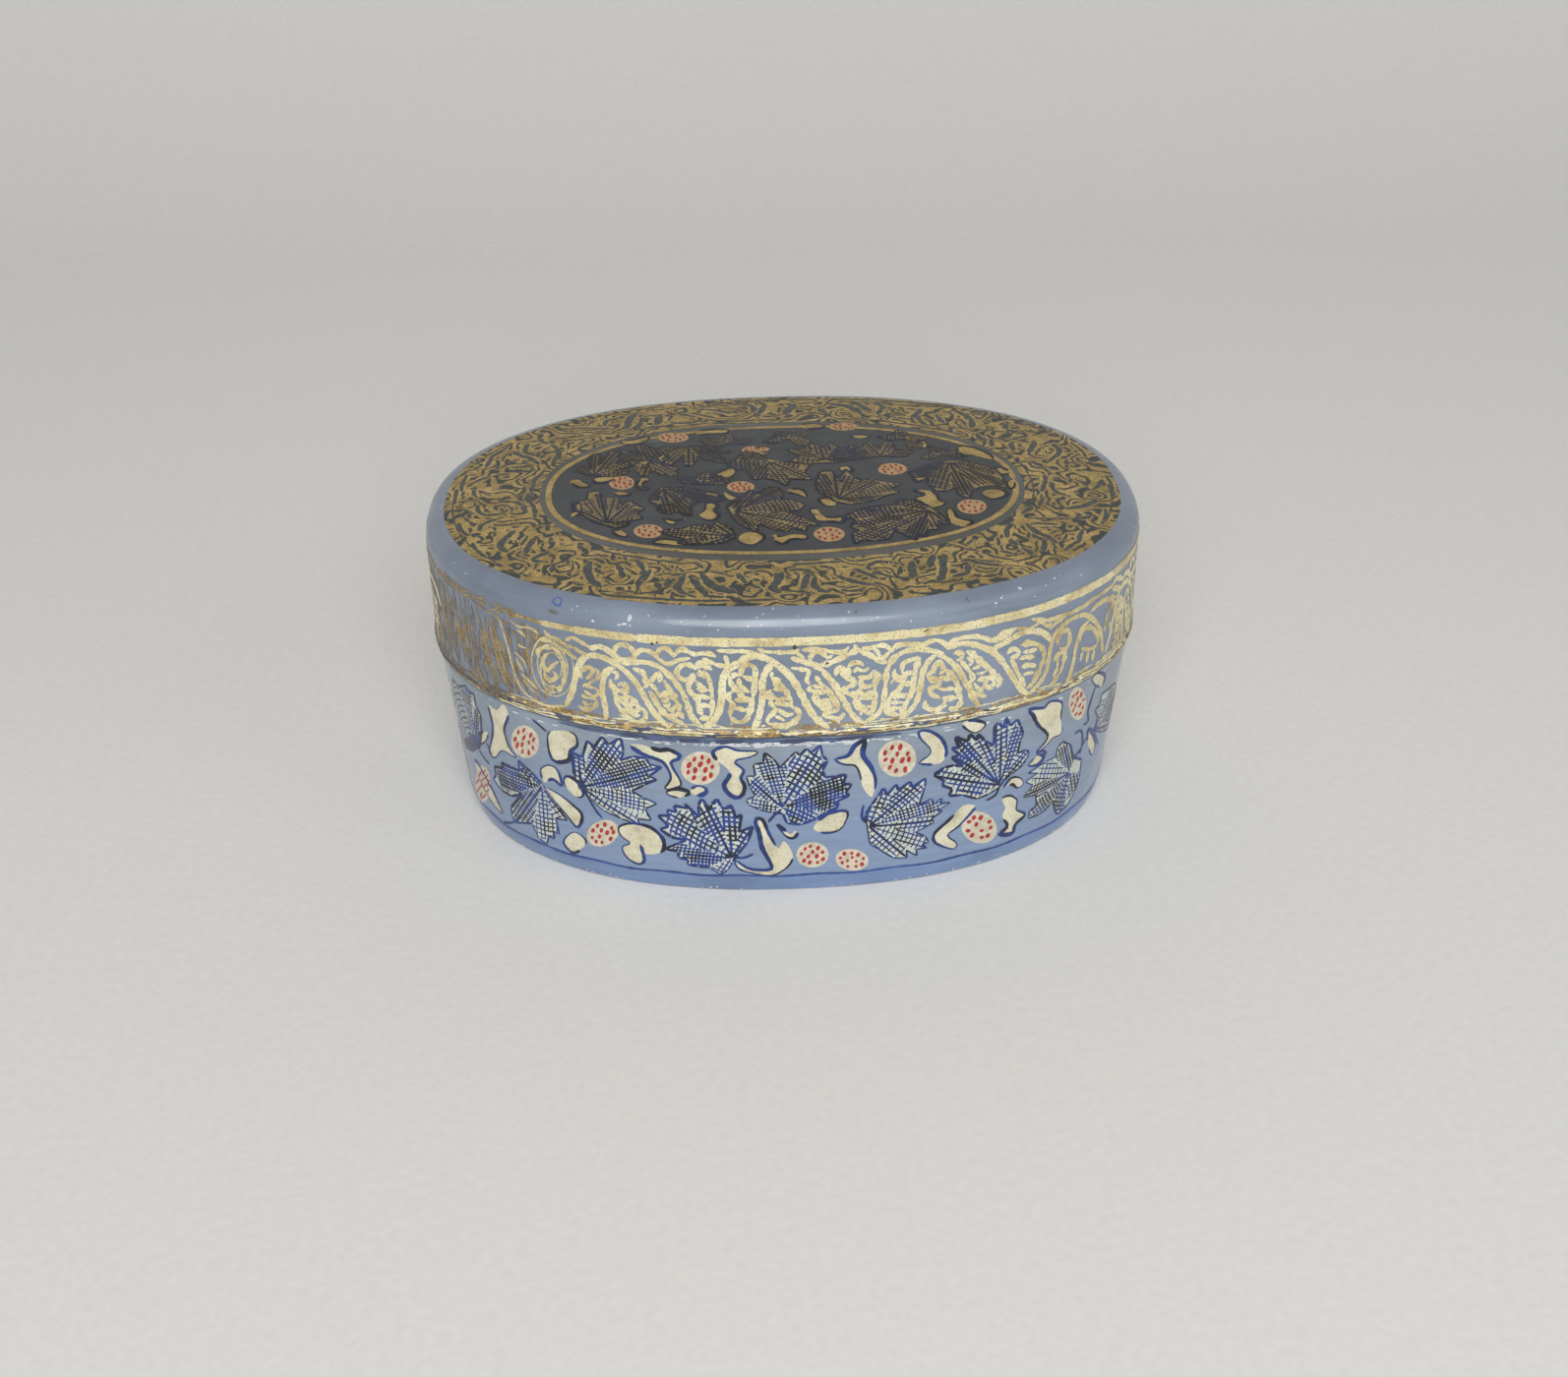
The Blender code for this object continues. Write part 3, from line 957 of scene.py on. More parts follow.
# Vines: smooth gold lines
LID_VINES = (
    ((575, 718), (580, 708), (583, 700), (585, 690), (587, 681), (590, 674), (595, 668), (602, 666),
     (610, 667), (618, 670), (625, 674), (632, 679), (639, 685), (646, 693), (651, 701), (656, 710),
     (662, 720), (668, 728), (675, 735), (686, 742)),
    ((616, 732), (616, 722), (613, 706), (613, 694), (615, 686), (619, 681), (626, 679)),
    ((600, 660), (608, 657), (615, 659), (621, 663), (627, 668), (634, 673), (643, 673), (655, 673),
     (664, 675), (672, 679), (679, 685), (685, 691), (690, 698), (695, 706), (699, 716), (702, 726),
     (708, 734), (714, 740)),
    ((714, 740), (723, 735), (729, 727), (733, 716), (734, 702), (735, 690), (739, 682), (746, 677),
     (753, 672), (761, 668), (770, 667), (778, 669), (786, 673), (793, 678), (800, 684), (806, 691),
     (811, 699), (816, 708), (821, 718), (827, 727), (834, 734), (843, 740)),
    ((765, 742), (770, 733), (773, 722), (775, 709), (775, 696), (777, 686), (782, 678), (788, 674)),
    ((804, 668), (811, 671), (818, 673), (826, 675), (834, 680), (840, 686), (846, 693), (851, 700),
     (856, 709), (861, 718), (866, 726), (872, 732), (878, 735)),
    ((832, 676), (840, 675), (848, 672), (857, 668), (865, 664), (872, 661), (879, 663), (886, 667),
     (893, 671), (902, 674)),
    ((878, 735), (886, 730), (893, 725), (897, 717), (899, 707), (900, 696), (901, 685), (904, 676),
     (909, 669), (916, 664), (925, 661), (935, 660), (944, 661), (952, 663), (960, 668), (968, 674),
     (975, 682), (980, 691), (985, 701), (990, 711), (996, 718)),
    ((914, 731), (923, 724), (930, 716), (934, 706), (936, 695), (938, 684), (942, 675), (948, 668),
     (953, 665)),
    ((962, 660), (970, 656), (979, 654), (989, 655), (999, 658), (1008, 662), (1016, 669), (1022, 677),
     (1028, 686), (1033, 694), (1038, 701), (1045, 706)),
    ((1008, 660), (1018, 655), (1027, 650), (1036, 645), (1046, 642), (1056, 642), (1064, 646), (1069, 652)),
    ((1045, 706), (1053, 698), (1060, 689), (1064, 679), (1066, 668), (1068, 657), (1071, 647), (1077, 639),
     (1085, 632), (1094, 627), (1103, 625), (1110, 629), (1116, 636), (1119, 645), (1120, 656), (1121, 664)),
    ((1084, 695), (1088, 683), (1091, 671), (1093, 659), (1096, 647), (1100, 638), (1107, 631)),
    ((1108, 622), (1116, 614), (1125, 609), (1132, 613), (1136, 626), (1137, 642), (1136, 654)),
    ((508, 630), (512, 643), (516, 657), (519, 669), (523, 683), (528, 696), (534, 704), (541, 710),
     (550, 715), (559, 718), (567, 718), (575, 718)),
    ((479, 634), (482, 655), (484, 668), (487, 680), (491, 690), (497, 698)),
    ((498, 636), (502, 652), (505, 666), (509, 679), (514, 691), (520, 700)),
    ((461, 612), (466, 630), (470, 648), (475, 664), (481, 680), (487, 690)),
    ((450, 610), (453, 628), (457, 645), (462, 660), (467, 672)),
)

# Finer loops under the gold line
LID_LOOPS = (
    ((575, 651), (582, 648), (590, 652), (597, 656), (604, 660)),
    ((575, 655), (583, 658), (591, 663), (600, 667)),
    ((572, 659), (580, 665), (587, 670)),
    ((624, 664), (626, 658), (632, 655), (639, 657), (644, 662), (645, 668), (639, 671), (631, 669)),
    ((645, 667), (651, 661), (660, 662), (667, 666), (669, 671)),
    ((668, 665), (671, 660), (677, 659), (682, 663), (685, 668)),
    ((668, 668), (674, 673), (680, 675), (687, 672), (694, 670), (702, 669)),
    ((685, 668), (688, 663), (693, 660), (699, 662), (706, 665), (715, 664), (723, 665), (728, 668)),
    ((714, 669), (722, 673), (730, 676), (738, 677), (746, 677)),
    ((737, 666), (739, 672), (741, 677)),
    ((728, 661), (740, 662), (755, 662), (766, 664), (774, 668)),
    ((770, 659), (776, 662), (788, 663), (800, 663), (808, 662), (813, 660)),
    ((806, 661), (812, 665), (818, 670)),
    ((823, 672), (825, 666), (831, 662), (837, 665), (841, 669)),
    ((840, 670), (847, 666)),
    ((815, 661), (828, 660), (842, 662), (854, 663), (860, 661), (863, 657)),
    ((876, 658), (884, 659), (891, 657), (898, 656), (904, 659), (908, 663)),
    ((889, 659), (893, 665), (896, 670), (900, 667), (905, 662)),
    ((906, 662), (911, 657), (919, 655), (930, 655), (939, 655), (946, 652), (953, 651), (960, 654),
     (965, 659)),
    ((868, 655), (872, 661)),
    ((938, 659), (944, 655)),
    ((962, 658), (970, 651), (980, 648), (992, 647), (1002, 649), (1008, 651), (1014, 647), (1020, 643),
     (1028, 641), (1034, 638)),
    ((1006, 652), (1015, 650), (1024, 646), (1031, 641)),
    ((1034, 638), (1044, 640), (1052, 636), (1058, 632), (1064, 636), (1070, 634)),
    ((1048, 629), (1058, 630), (1068, 630), (1080, 626), (1090, 622), (1100, 617), (1110, 610), (1120, 603),
     (1132, 594)),
    ((1066, 640), (1074, 633), (1084, 626), (1094, 620), (1104, 616)),
    ((553, 640), (558, 646), (565, 650), (573, 654), (581, 659)),
    ((548, 650), (558, 651), (568, 657), (578, 664)),
    ((518, 630), (527, 637), (538, 638), (548, 644)),
    ((500, 622), (508, 630), (516, 634)),
    ((480, 610), (490, 618), (500, 624)),
)

# Leaves drawn in gold line: lobes at the rim and short bars across
LID_LEAVES = (
    ((592, 690), (590, 684), (594, 680), (600, 678), (603, 682), (600, 687), (596, 690)),
    ((605, 679), (609, 684), (607, 690), (602, 692), (598, 696)),
    ((592, 698), (596, 696), (600, 698), (606, 700), (609, 704), (605, 708), (600, 706), (594, 702)),
    ((591, 706), (596, 709), (602, 710), (607, 712), (605, 718), (599, 721), (592, 720), (588, 717)),
    ((592, 712), (597, 716), (602, 715)),
    ((623, 684), (626, 683), (628, 687), (625, 691)),
    ((621, 690), (621, 695), (624, 699), (628, 702), (632, 703)),
    ((628, 697), (632, 695), (636, 697), (638, 701), (634, 703), (630, 700)),
    ((625, 704), (628, 709), (634, 710), (640, 708), (644, 712), (648, 717), (650, 720), (645, 723),
     (640, 720), (634, 714), (628, 712)),
    ((624, 700), (626, 708), (628, 716), (632, 722), (636, 727), (641, 731), (647, 734), (652, 734),
     (656, 730), (656, 724), (652, 719)),
    ((634, 720), (640, 724), (646, 727), (651, 727)),
    ((636, 712), (640, 716), (646, 716)),
    ((643, 679), (648, 681), (654, 684), (656, 690), (658, 696), (654, 699)),
    ((662, 694), (664, 690), (667, 686), (670, 685), (671, 690), (670, 694)),
    ((660, 694), (666, 700), (670, 706), (673, 710)),
    ((675, 691), (678, 697), (681, 701), (684, 706), (687, 712), (690, 718), (691, 724), (695, 731)),
    ((660, 702), (664, 708), (667, 714), (671, 720), (675, 725), (681, 729), (688, 733), (695, 736)),
    ((668, 706), (674, 706), (680, 705), (684, 708)),
    ((672, 712), (677, 712), (680, 709)),
    ((674, 716), (679, 718), (681, 714)),
    ((678, 721), (683, 722), (687, 717)),
    ((681, 726), (687, 727), (690, 722)),
    ((706, 684), (702, 689), (696, 691), (690, 688), (688, 683), (691, 678), (697, 675), (703, 677),
     (708, 681)),
    ((706, 680), (712, 675), (718, 677), (724, 681)),
    ((718, 683), (721, 691), (723, 700), (724, 710), (724, 722), (721, 730), (716, 730), (711, 731)),
    ((707, 686), (702, 693), (700, 698), (702, 704), (707, 708), (710, 713), (710, 719), (714, 727)),
    ((707, 692), (712, 697), (718, 699)),
    ((708, 700), (714, 701), (721, 702)),
    ((706, 708), (714, 708), (722, 710)),
    ((711, 718), (717, 717), (723, 719)),
    ((714, 728), (720, 729)),
    ((711, 680), (712, 688)),
    ((716, 681), (716, 690)),
    ((753, 688), (754, 681), (757, 676), (763, 676), (767, 679), (768, 686), (765, 690), (759, 689),
     (755, 687)),
    ((768, 686), (767, 696), (766, 706), (764, 716), (762, 724), (759, 731), (753, 734), (747, 733),
     (742, 728)),
    ((753, 686), (746, 686), (742, 690), (744, 696), (748, 700), (744, 703), (740, 707), (742, 712),
     (745, 716), (743, 722), (742, 728)),
    ((751, 689), (752, 696), (757, 701), (762, 704)),
    ((748, 700), (752, 704), (755, 710), (760, 711), (765, 710)),
    ((747, 711), (752, 712), (758, 712)),
    ((745, 721), (751, 720), (757, 722), (761, 719)),
    ((785, 683), (784, 689)),
    ((785, 688), (788, 694), (790, 700)),
    ((788, 688), (792, 694), (796, 699), (799, 702), (801, 707), (804, 711), (804, 717), (808, 720),
     (813, 725), (811, 730), (806, 735), (800, 737), (794, 738), (787, 737), (780, 735)),
    ((784, 701), (781, 705), (785, 709), (790, 709)),
    ((783, 711), (784, 716), (788, 720), (786, 725), (781, 730), (780, 735)),
    ((786, 701), (792, 701), (798, 702)),
    ((785, 710), (792, 711), (799, 710), (804, 712)),
    ((787, 715), (793, 715), (799, 716), (804, 717)),
    ((790, 720), (795, 724), (801, 727), (807, 725)),
    ((788, 728), (793, 730), (798, 733)),
    ((804, 679), (813, 680), (822, 682), (821, 687), (820, 691), (823, 696)),
    ((829, 687), (833, 693), (837, 699), (842, 702), (846, 708), (850, 714), (852, 720), (847, 723),
     (841, 724), (838, 727), (845, 729), (852, 731), (856, 728), (858, 724)),
    ((826, 696), (830, 698), (834, 699)),
    ((825, 697), (822, 701), (828, 703), (835, 704), (841, 703)),
    ((828, 704), (829, 710), (833, 716), (839, 720), (846, 721)),
    ((833, 712), (840, 713), (847, 713)),
    ((834, 716), (841, 717), (849, 717)),
    ((852, 731), (853, 736)),
    ((849, 687), (852, 680), (857, 679), (857, 684), (861, 689), (867, 691), (868, 695), (863, 698),
     (858, 701), (862, 705), (868, 706), (870, 711), (867, 716)),
    ((864, 687), (862, 680), (867, 674), (874, 674), (878, 677)),
    ((868, 684), (871, 680), (876, 682), (881, 681), (883, 678)),
    ((886, 682), (889, 682), (892, 688), (890, 694), (889, 700), (891, 706), (889, 713), (888, 720),
     (884, 725), (878, 722), (874, 727)),
    ((872, 688), (878, 689), (884, 688), (887, 683)),
    ((875, 690), (876, 697), (882, 698), (889, 696)),
    ((876, 699), (873, 703), (878, 706), (885, 705), (890, 703)),
    ((875, 708), (872, 713), (873, 719), (880, 719), (888, 717)),
    ((874, 711), (880, 709), (888, 710)),
    ((910, 680), (909, 686), (914, 690), (919, 693)),
    ((905, 695), (908, 692), (912, 690)),
    ((917, 683), (918, 675), (923, 672), (930, 670), (934, 670), (931, 680), (929, 690), (928, 700),
     (926, 706), (922, 713), (918, 721), (915, 727)),
    ((917, 683), (920, 688), (918, 694), (915, 699), (912, 703), (907, 706), (904, 711), (902, 717),
     (903, 723), (908, 726), (915, 727)),
    ((919, 684), (925, 684), (930, 682)),
    ((918, 695), (924, 695), (929, 693)),
    ((911, 706), (918, 707), (926, 704)),
    ((906, 709), (913, 708), (921, 709)),
    ((904, 714), (912, 714), (919, 714)),
    ((904, 720), (911, 720), (917, 719)),
    ((950, 685), (950, 678), (953, 674), (957, 675), (959, 681), (955, 686)),
    ((949, 680), (946, 684), (944, 687), (948, 691), (954, 692), (955, 696), (950, 698), (945, 701),
     (947, 706), (952, 708), (956, 710)),
    ((941, 712), (940, 717), (945, 721), (951, 722), (957, 719), (963, 717)),
    ((960, 680), (964, 683), (969, 688), (972, 693), (974, 699), (975, 706), (977, 712), (975, 717),
     (970, 720), (964, 720)),
    ((955, 688), (962, 690), (969, 690)),
    ((952, 699), (960, 701), (968, 700), (974, 701)),
    ((958, 709), (965, 710), (974, 709)),
    ((957, 718), (961, 713), (958, 710)),
    ((969, 665), (973, 663), (978, 666), (976, 671), (972, 670)),
    ((982, 662), (987, 664), (992, 668), (998, 673), (1004, 678), (1009, 683), (1014, 688), (1019, 692)),
    ((977, 672), (982, 678), (986, 683), (989, 690), (985, 694), (986, 700), (990, 705), (996, 707),
     (1003, 708)),
    ((983, 668), (988, 672), (985, 677)),
    ((988, 680), (994, 678), (998, 675)),
    ((993, 685), (999, 684), (1004, 681)),
    ((993, 692), (1000, 690), (1002, 696), (998, 700)),
    ((1002, 694), (1004, 689), (1009, 690), (1010, 696), (1006, 699), (1002, 697)),
    ((1012, 688), (1016, 694), (1013, 699)),
    ((990, 694), (994, 700), (1000, 704)),
    ((1024, 665), (1027, 661), (1032, 660), (1036, 663), (1033, 667), (1028, 669), (1031, 676), (1034, 683),
     (1038, 690), (1042, 698)),
    ((1037, 656), (1045, 654), (1054, 655), (1060, 660), (1061, 668), (1058, 677), (1054, 686), (1049, 695),
     (1043, 700)),
    ((1040, 663), (1047, 662), (1054, 660)),
    ((1036, 670), (1043, 668), (1052, 668)),
    ((1038, 678), (1046, 676), (1053, 677)),
    ((1040, 686), (1046, 684), (1051, 684)),
    ((1075, 656), (1076, 648), (1080, 642), (1086, 641), (1087, 650), (1085, 657), (1080, 660), (1076, 658)),
    ((1071, 672), (1076, 665), (1082, 662), (1081, 672), (1078, 682), (1073, 690), (1067, 696)),
    ((1075, 670), (1074, 680), (1070, 688)),
    ((1096, 654), (1098, 645), (1103, 639), (1109, 638), (1114, 643), (1116, 650), (1113, 657), (1106, 660),
     (1099, 659)),
    ((1100, 662), (1098, 672)),
    ((1106, 662), (1104, 674)),
    ((1112, 660), (1110, 672)),
    ((1122, 642), (1124, 630), (1127, 620), (1130, 615), (1133, 622), (1134, 635), (1132, 650)),
    ((1126, 632), (1130, 640), (1126, 650)),
    ((548, 668), (547, 662), (553, 658), (560, 658), (566, 661), (571, 667), (574, 676), (574, 687),
     (572, 697), (567, 703)),
    ((556, 664), (552, 672), (556, 681), (563, 676), (568, 672)),
    ((553, 684), (558, 692), (566, 688), (562, 682)),
    ((550, 674), (550, 686), (554, 698), (561, 706)),
    ((564, 696), (560, 702), (566, 704)),
    ((523, 662), (528, 667), (533, 673), (535, 679)),
    ((524, 668), (528, 676), (533, 684)),
    ((530, 684), (536, 690), (542, 696), (547, 701)),
    ((532, 690), (538, 698), (544, 704)),
    ((524, 640), (530, 643), (535, 648)),
    ((526, 655), (530, 657), (535, 659)),
    ((505, 644), (506, 656), (510, 668), (513, 680), (518, 691)),
    ((490, 640), (492, 652), (495, 664), (498, 676), (503, 688)),
    ((494, 646), (490, 656), (496, 666), (493, 676)),
    ((470, 628), (473, 642), (477, 656), (480, 668)),
    ((474, 634), (470, 644), (477, 654), (474, 664)),
)

# Each kind of line with its width, lift and shake
LID_LINES = (
    (LID_VINES, 0.86, 0.06, 0.25),
    (LID_LOOPS, 0.66, 0.055, 0.3),
    (LID_LEAVES, 0.74, 0.05, 0.4),
)

# The pattern between two feet of its vines, told by pixels, is repeated so often between two runs at the back
LID_BLOCK = ((575, 718), (1045, 706))
LID_BLOCKS = 3
LID_BACK = (48.0, 228.0)

# The lid's left end is worn: runs between which its gold is rubbed down to thin lines
WORN = (-80.0, -43.0)
WORN_LEAF = (562, 677)  # pixel of the middle of a faint leaf there
WORN_LEAF_HALF = (31, 21)  # in pixels
WORN_FOOT, WORN_TOP = 27.6, 40.2  # heights between which it has upright streaks

# Gold lines from the worn end on: up to which run, in which paint and in what share of their full width
FADING = (
    (WORN[1], "old_gold", 0.42),
    (-39.5, "old_gold", 0.5),
    (-34.0, "aged_and_shaded_gold", 0.5),
    (-26.0, "aged_and_shaded_gold", 0.8),
)
SHADED_GOLD_RUNS = (33, 50)  # lengths from the front, either way, between which the gold is painted darker as shade where the light falls off towards the ends; nearer the front it is the paler lit gold. Beyond, it is patchy.

# The gold line at the lip is made of thin strands: height over the line's own, and width
LIP_LINE = 27.5
LIP_STRANDS = ((-0.5, 0.3), (-0.15, 0.32), (0.2, 0.3), (0.6, 0.3), (1.0, 0.24))
LIP_TOUCHES = 620

# The gold line at the shoulder: height, number of points, and parts from the worn end round to it again, each
# with its paint, first and last point and width
SHOULDER_LINE = 40.9
SHOULDER_LINE_POINTS = 420
SHOULDER_LINE_START = -39.0
SHOULDER_LINE_GAP = 30  # left open at the worn end
# Its long stretch at the front is in the paler lit gold, and round the back it is the darker gold: painted
# light and shade
SHOULDER_LINE_PARTS = (
    ("old_gold", 0, 9, 0.45),
    ("aged_and_shaded_gold", 7, 16, 0.85),
    ("aged_and_shaded_gold", 15, 30, 1.15),
    ("gold", 29, 143, 1.25),
    ("aged_and_shaded_gold", 142, 420, 1.25),
)

# Numbers of touches at the worn end
RUBBED_STREAKS = 520
RUBBED_TOUCHES = 90
LIP_CHIPS_AND_GLINT = 60
LINE_FLAKES = 420


def repeated(lines, block, back, count):
    """Lines as given, and again in each of some equal lengths round the back."""
    yield from lines
    wide = (back[1] - back[0]) / count
    for line in lines:
        middle = sum(u for u, _ in line) / len(line)
        if block[0] <= middle <= block[1]:
            for i in range(count):
                left = back[0] + wide * i
                yield [(left + (u - block[0]) / (block[1] - block[0]) * wide, v) for u, v in line]


def paint_lid_side(work):
    """Vines and leaves in gold line, between a rough gold line at the lip and a broad one at the shoulder."""
    block = [pick_lid_side(pixel)[0] for pixel in LID_BLOCK]
    for table, width, lift, shake in LID_LINES:
        lines = [[pick_lid_side(pixel) for pixel in pixels] for pixels in table]
        for line in repeated(lines, block, LID_BACK, LID_BLOCKS):
            paint, share = line_gold(sum(run for run, _ in line) / len(line))
            full = width * share * work.random.uniform(0.9, 1.12)
            work.stroke(paint, line, full, lift, step=0.3, shake=shake)
    broad = []
    for i in range(SHOULDER_LINE_POINTS + 1):
        run = SHOULDER_LINE_START + (ROUND - SHOULDER_LINE_GAP) * i / SHOULDER_LINE_POINTS
        broad.append((run, SHOULDER_LINE + 0.1 * wander(run, 0.2, 9, 0)))
    for paint, first, last, width in SHOULDER_LINE_PARTS:
        work.stroke(paint, broad[first:last + 1], width, lift=0.06, ends=0.3, step=0.7, shake=0.12)
    for height, width in LIP_STRANDS:
        paint_strand(work, LIP_LINE + height, width)
    paint_lip_touches(work)
    paint_worn_end(work)


def line_gold(run):
    """Paint of a gold line on the lid's side by its place, and its share of the full width."""
    if run > WORN[0]:
        for end, paint, share in FADING:
            if run < end:
                return paint, share
    # Near the front the gold is the paler lit copy, and further round the darker copy: painted light and
    # shade
    patchy = wander(run, 0.05, 2, 0) > 0
    if SHADED_GOLD_RUNS[0] < abs(run) < SHADED_GOLD_RUNS[1] or abs(run) > SHADED_GOLD_RUNS[1] and patchy:
        return "aged_and_shaded_gold", 0.95
    return "gold", 1.0


def lip_gold(work, run, old_share):
    """Gold or older gold by chance, and at the lid's worn end the rubbed gold, which on the lip there is also
    darker as painted shade.
    """
    if WORN[0] < run < WORN[1]:
        return "rubbed_and_shaded"
    return "old_gold" if work.random.random() < old_share else "gold"


def paint_strand(work, height, width):
    """A broken line round the lid, drawn in strokes of uneven length."""
    run = -ROUND / 2
    while run < ROUND / 2:
        length = work.random.uniform(3, 11)
        points = []
        for i in range(round(length) + 1):
            along = run + length * i / round(length)
            points.append((along, height + 0.22 * wander(along, 0.5, height, 3)))
        paint = lip_gold(work, run, 0.35)
        work.stroke(paint, points, width * work.random.uniform(0.6, 1.2), step=0.5, shake=0.5)
        run += length * work.random.uniform(0.9, 1.3)


def paint_lip_touches(work):
    """Short rough touches along the gold line at the lip."""
    for i in range(LIP_TOUCHES):
        run = -ROUND / 2 + ROUND * i / LIP_TOUCHES
        height = LIP_LINE + work.random.uniform(-0.6, 1.3)
        away = work.random.uniform(-1.0, 1.0)
        ends = [(run, height), (run + away, height + work.random.uniform(-0.3, 0.4))]
        paint = lip_gold(work, run, 0.5)
        work.stroke(paint, ends, work.random.uniform(0.16, 0.34), lift=0.07, step=0.3, shake=0.4)


def paint_worn_end(work):
    """The lid's left end: upright streaks of rubbed gold, a faint leaf, pale touches along the lip that are
    chips and a painted highlight of its edge, and a flaked line.
    """
    chance = work.random
    for _ in range(RUBBED_STREAKS):
        run = -70 + 36 * chance.random() ** 1.7
        foot = chance.uniform(WORN_FOOT, 38.5)
        tall = min(chance.uniform(0.8, 4.5), WORN_TOP - foot)
        lean = chance.uniform(-0.5, 0.2)
        points = [(run + lean * i / 3 + chance.uniform(-0.1, 0.1), foot + tall * i / 3) for i in range(4)]
        paint = "rubbed_and_shaded" if chance.random() < 0.85 else "old_gold"
        work.stroke(paint, points, chance.uniform(0.12, 0.32), lift=0.04, step=0.4, shake=0.4)
    for share in (1.0, 0.72, 0.45):
        local = ellipse((0, 0), WORN_LEAF_HALF[0] * share, WORN_LEAF_HALF[1] * share, 100)
        outline = [pick_lid_side((WORN_LEAF[0] + u, WORN_LEAF[1] - v)) for u, v in local]
        work.stroke("aged_and_shaded_gold", outline + outline[:1], 0.2, step=0.3, shake=0.5)
    for _ in range(RUBBED_TOUCHES):
        run = chance.uniform(-46, -33)
        foot = chance.uniform(WORN_FOOT, 38.0)
        tall = chance.uniform(0.5, 2.0)
        points = [(run, foot + tall), (run + 0.35 * tall, foot)]
        paint = "rubbed_and_shaded" if chance.random() < 0.6 else "old_gold"
        work.stroke(paint, points, chance.uniform(0.12, 0.26), lift=0.045, step=0.4, shake=0.5)
    # Pale touches along the lip's edge: chips, and a painted highlight of the edge
    for i in range(LIP_CHIPS_AND_GLINT):
        run = WORN[0] + 0.56 * i
        ends = [(run, LID_EDGE + 0.5), (run + chance.uniform(0.2, 0.9), LID_EDGE + 0.5)]
        work.stroke("chipped_and_glint", ends, chance.uniform(0.12, 0.3), lift=0.06, step=0.3, shake=0.5)
    for _ in range(LINE_FLAKES):
        run = chance.uniform(-76, -38)
        height = SHOULDER_LINE + chance.gauss(0, 0.42)
        ends = [(run, height), (run + chance.uniform(-0.9, 0.9), height + chance.uniform(-0.3, 0.3))]
        work.stroke("old_gold", ends, chance.uniform(0.14, 0.3), lift=0.075, step=0.3, shake=0.4)


# The lid's top

# Medallion: half length and half width of the dark ground and of the gold line inside it, and its width
MEDALLION_GROUND = (33.4, 22.0)
MEDALLION_LINE = (33.2, 21.75)
MEDALLION_LINE_WIDTH = 0.85
MEDALLION_MIDDLE = (0.6, 0.4)  # small hole in the middle of the ground's mesh
MEDALLION_LIFT = 0.02
RING_LIFT = 0.03

# Ring round it: half sizes of its gold at the outside and the inside, and of the oval that its pattern starts
# at, and how much further out the pattern reaches
RING_GOLD = ((47.85, 35.75), (34.4, 23.95))
RING_INNER = (35.6, 25.2)
RING_ACROSS = (11.6, 9.8)

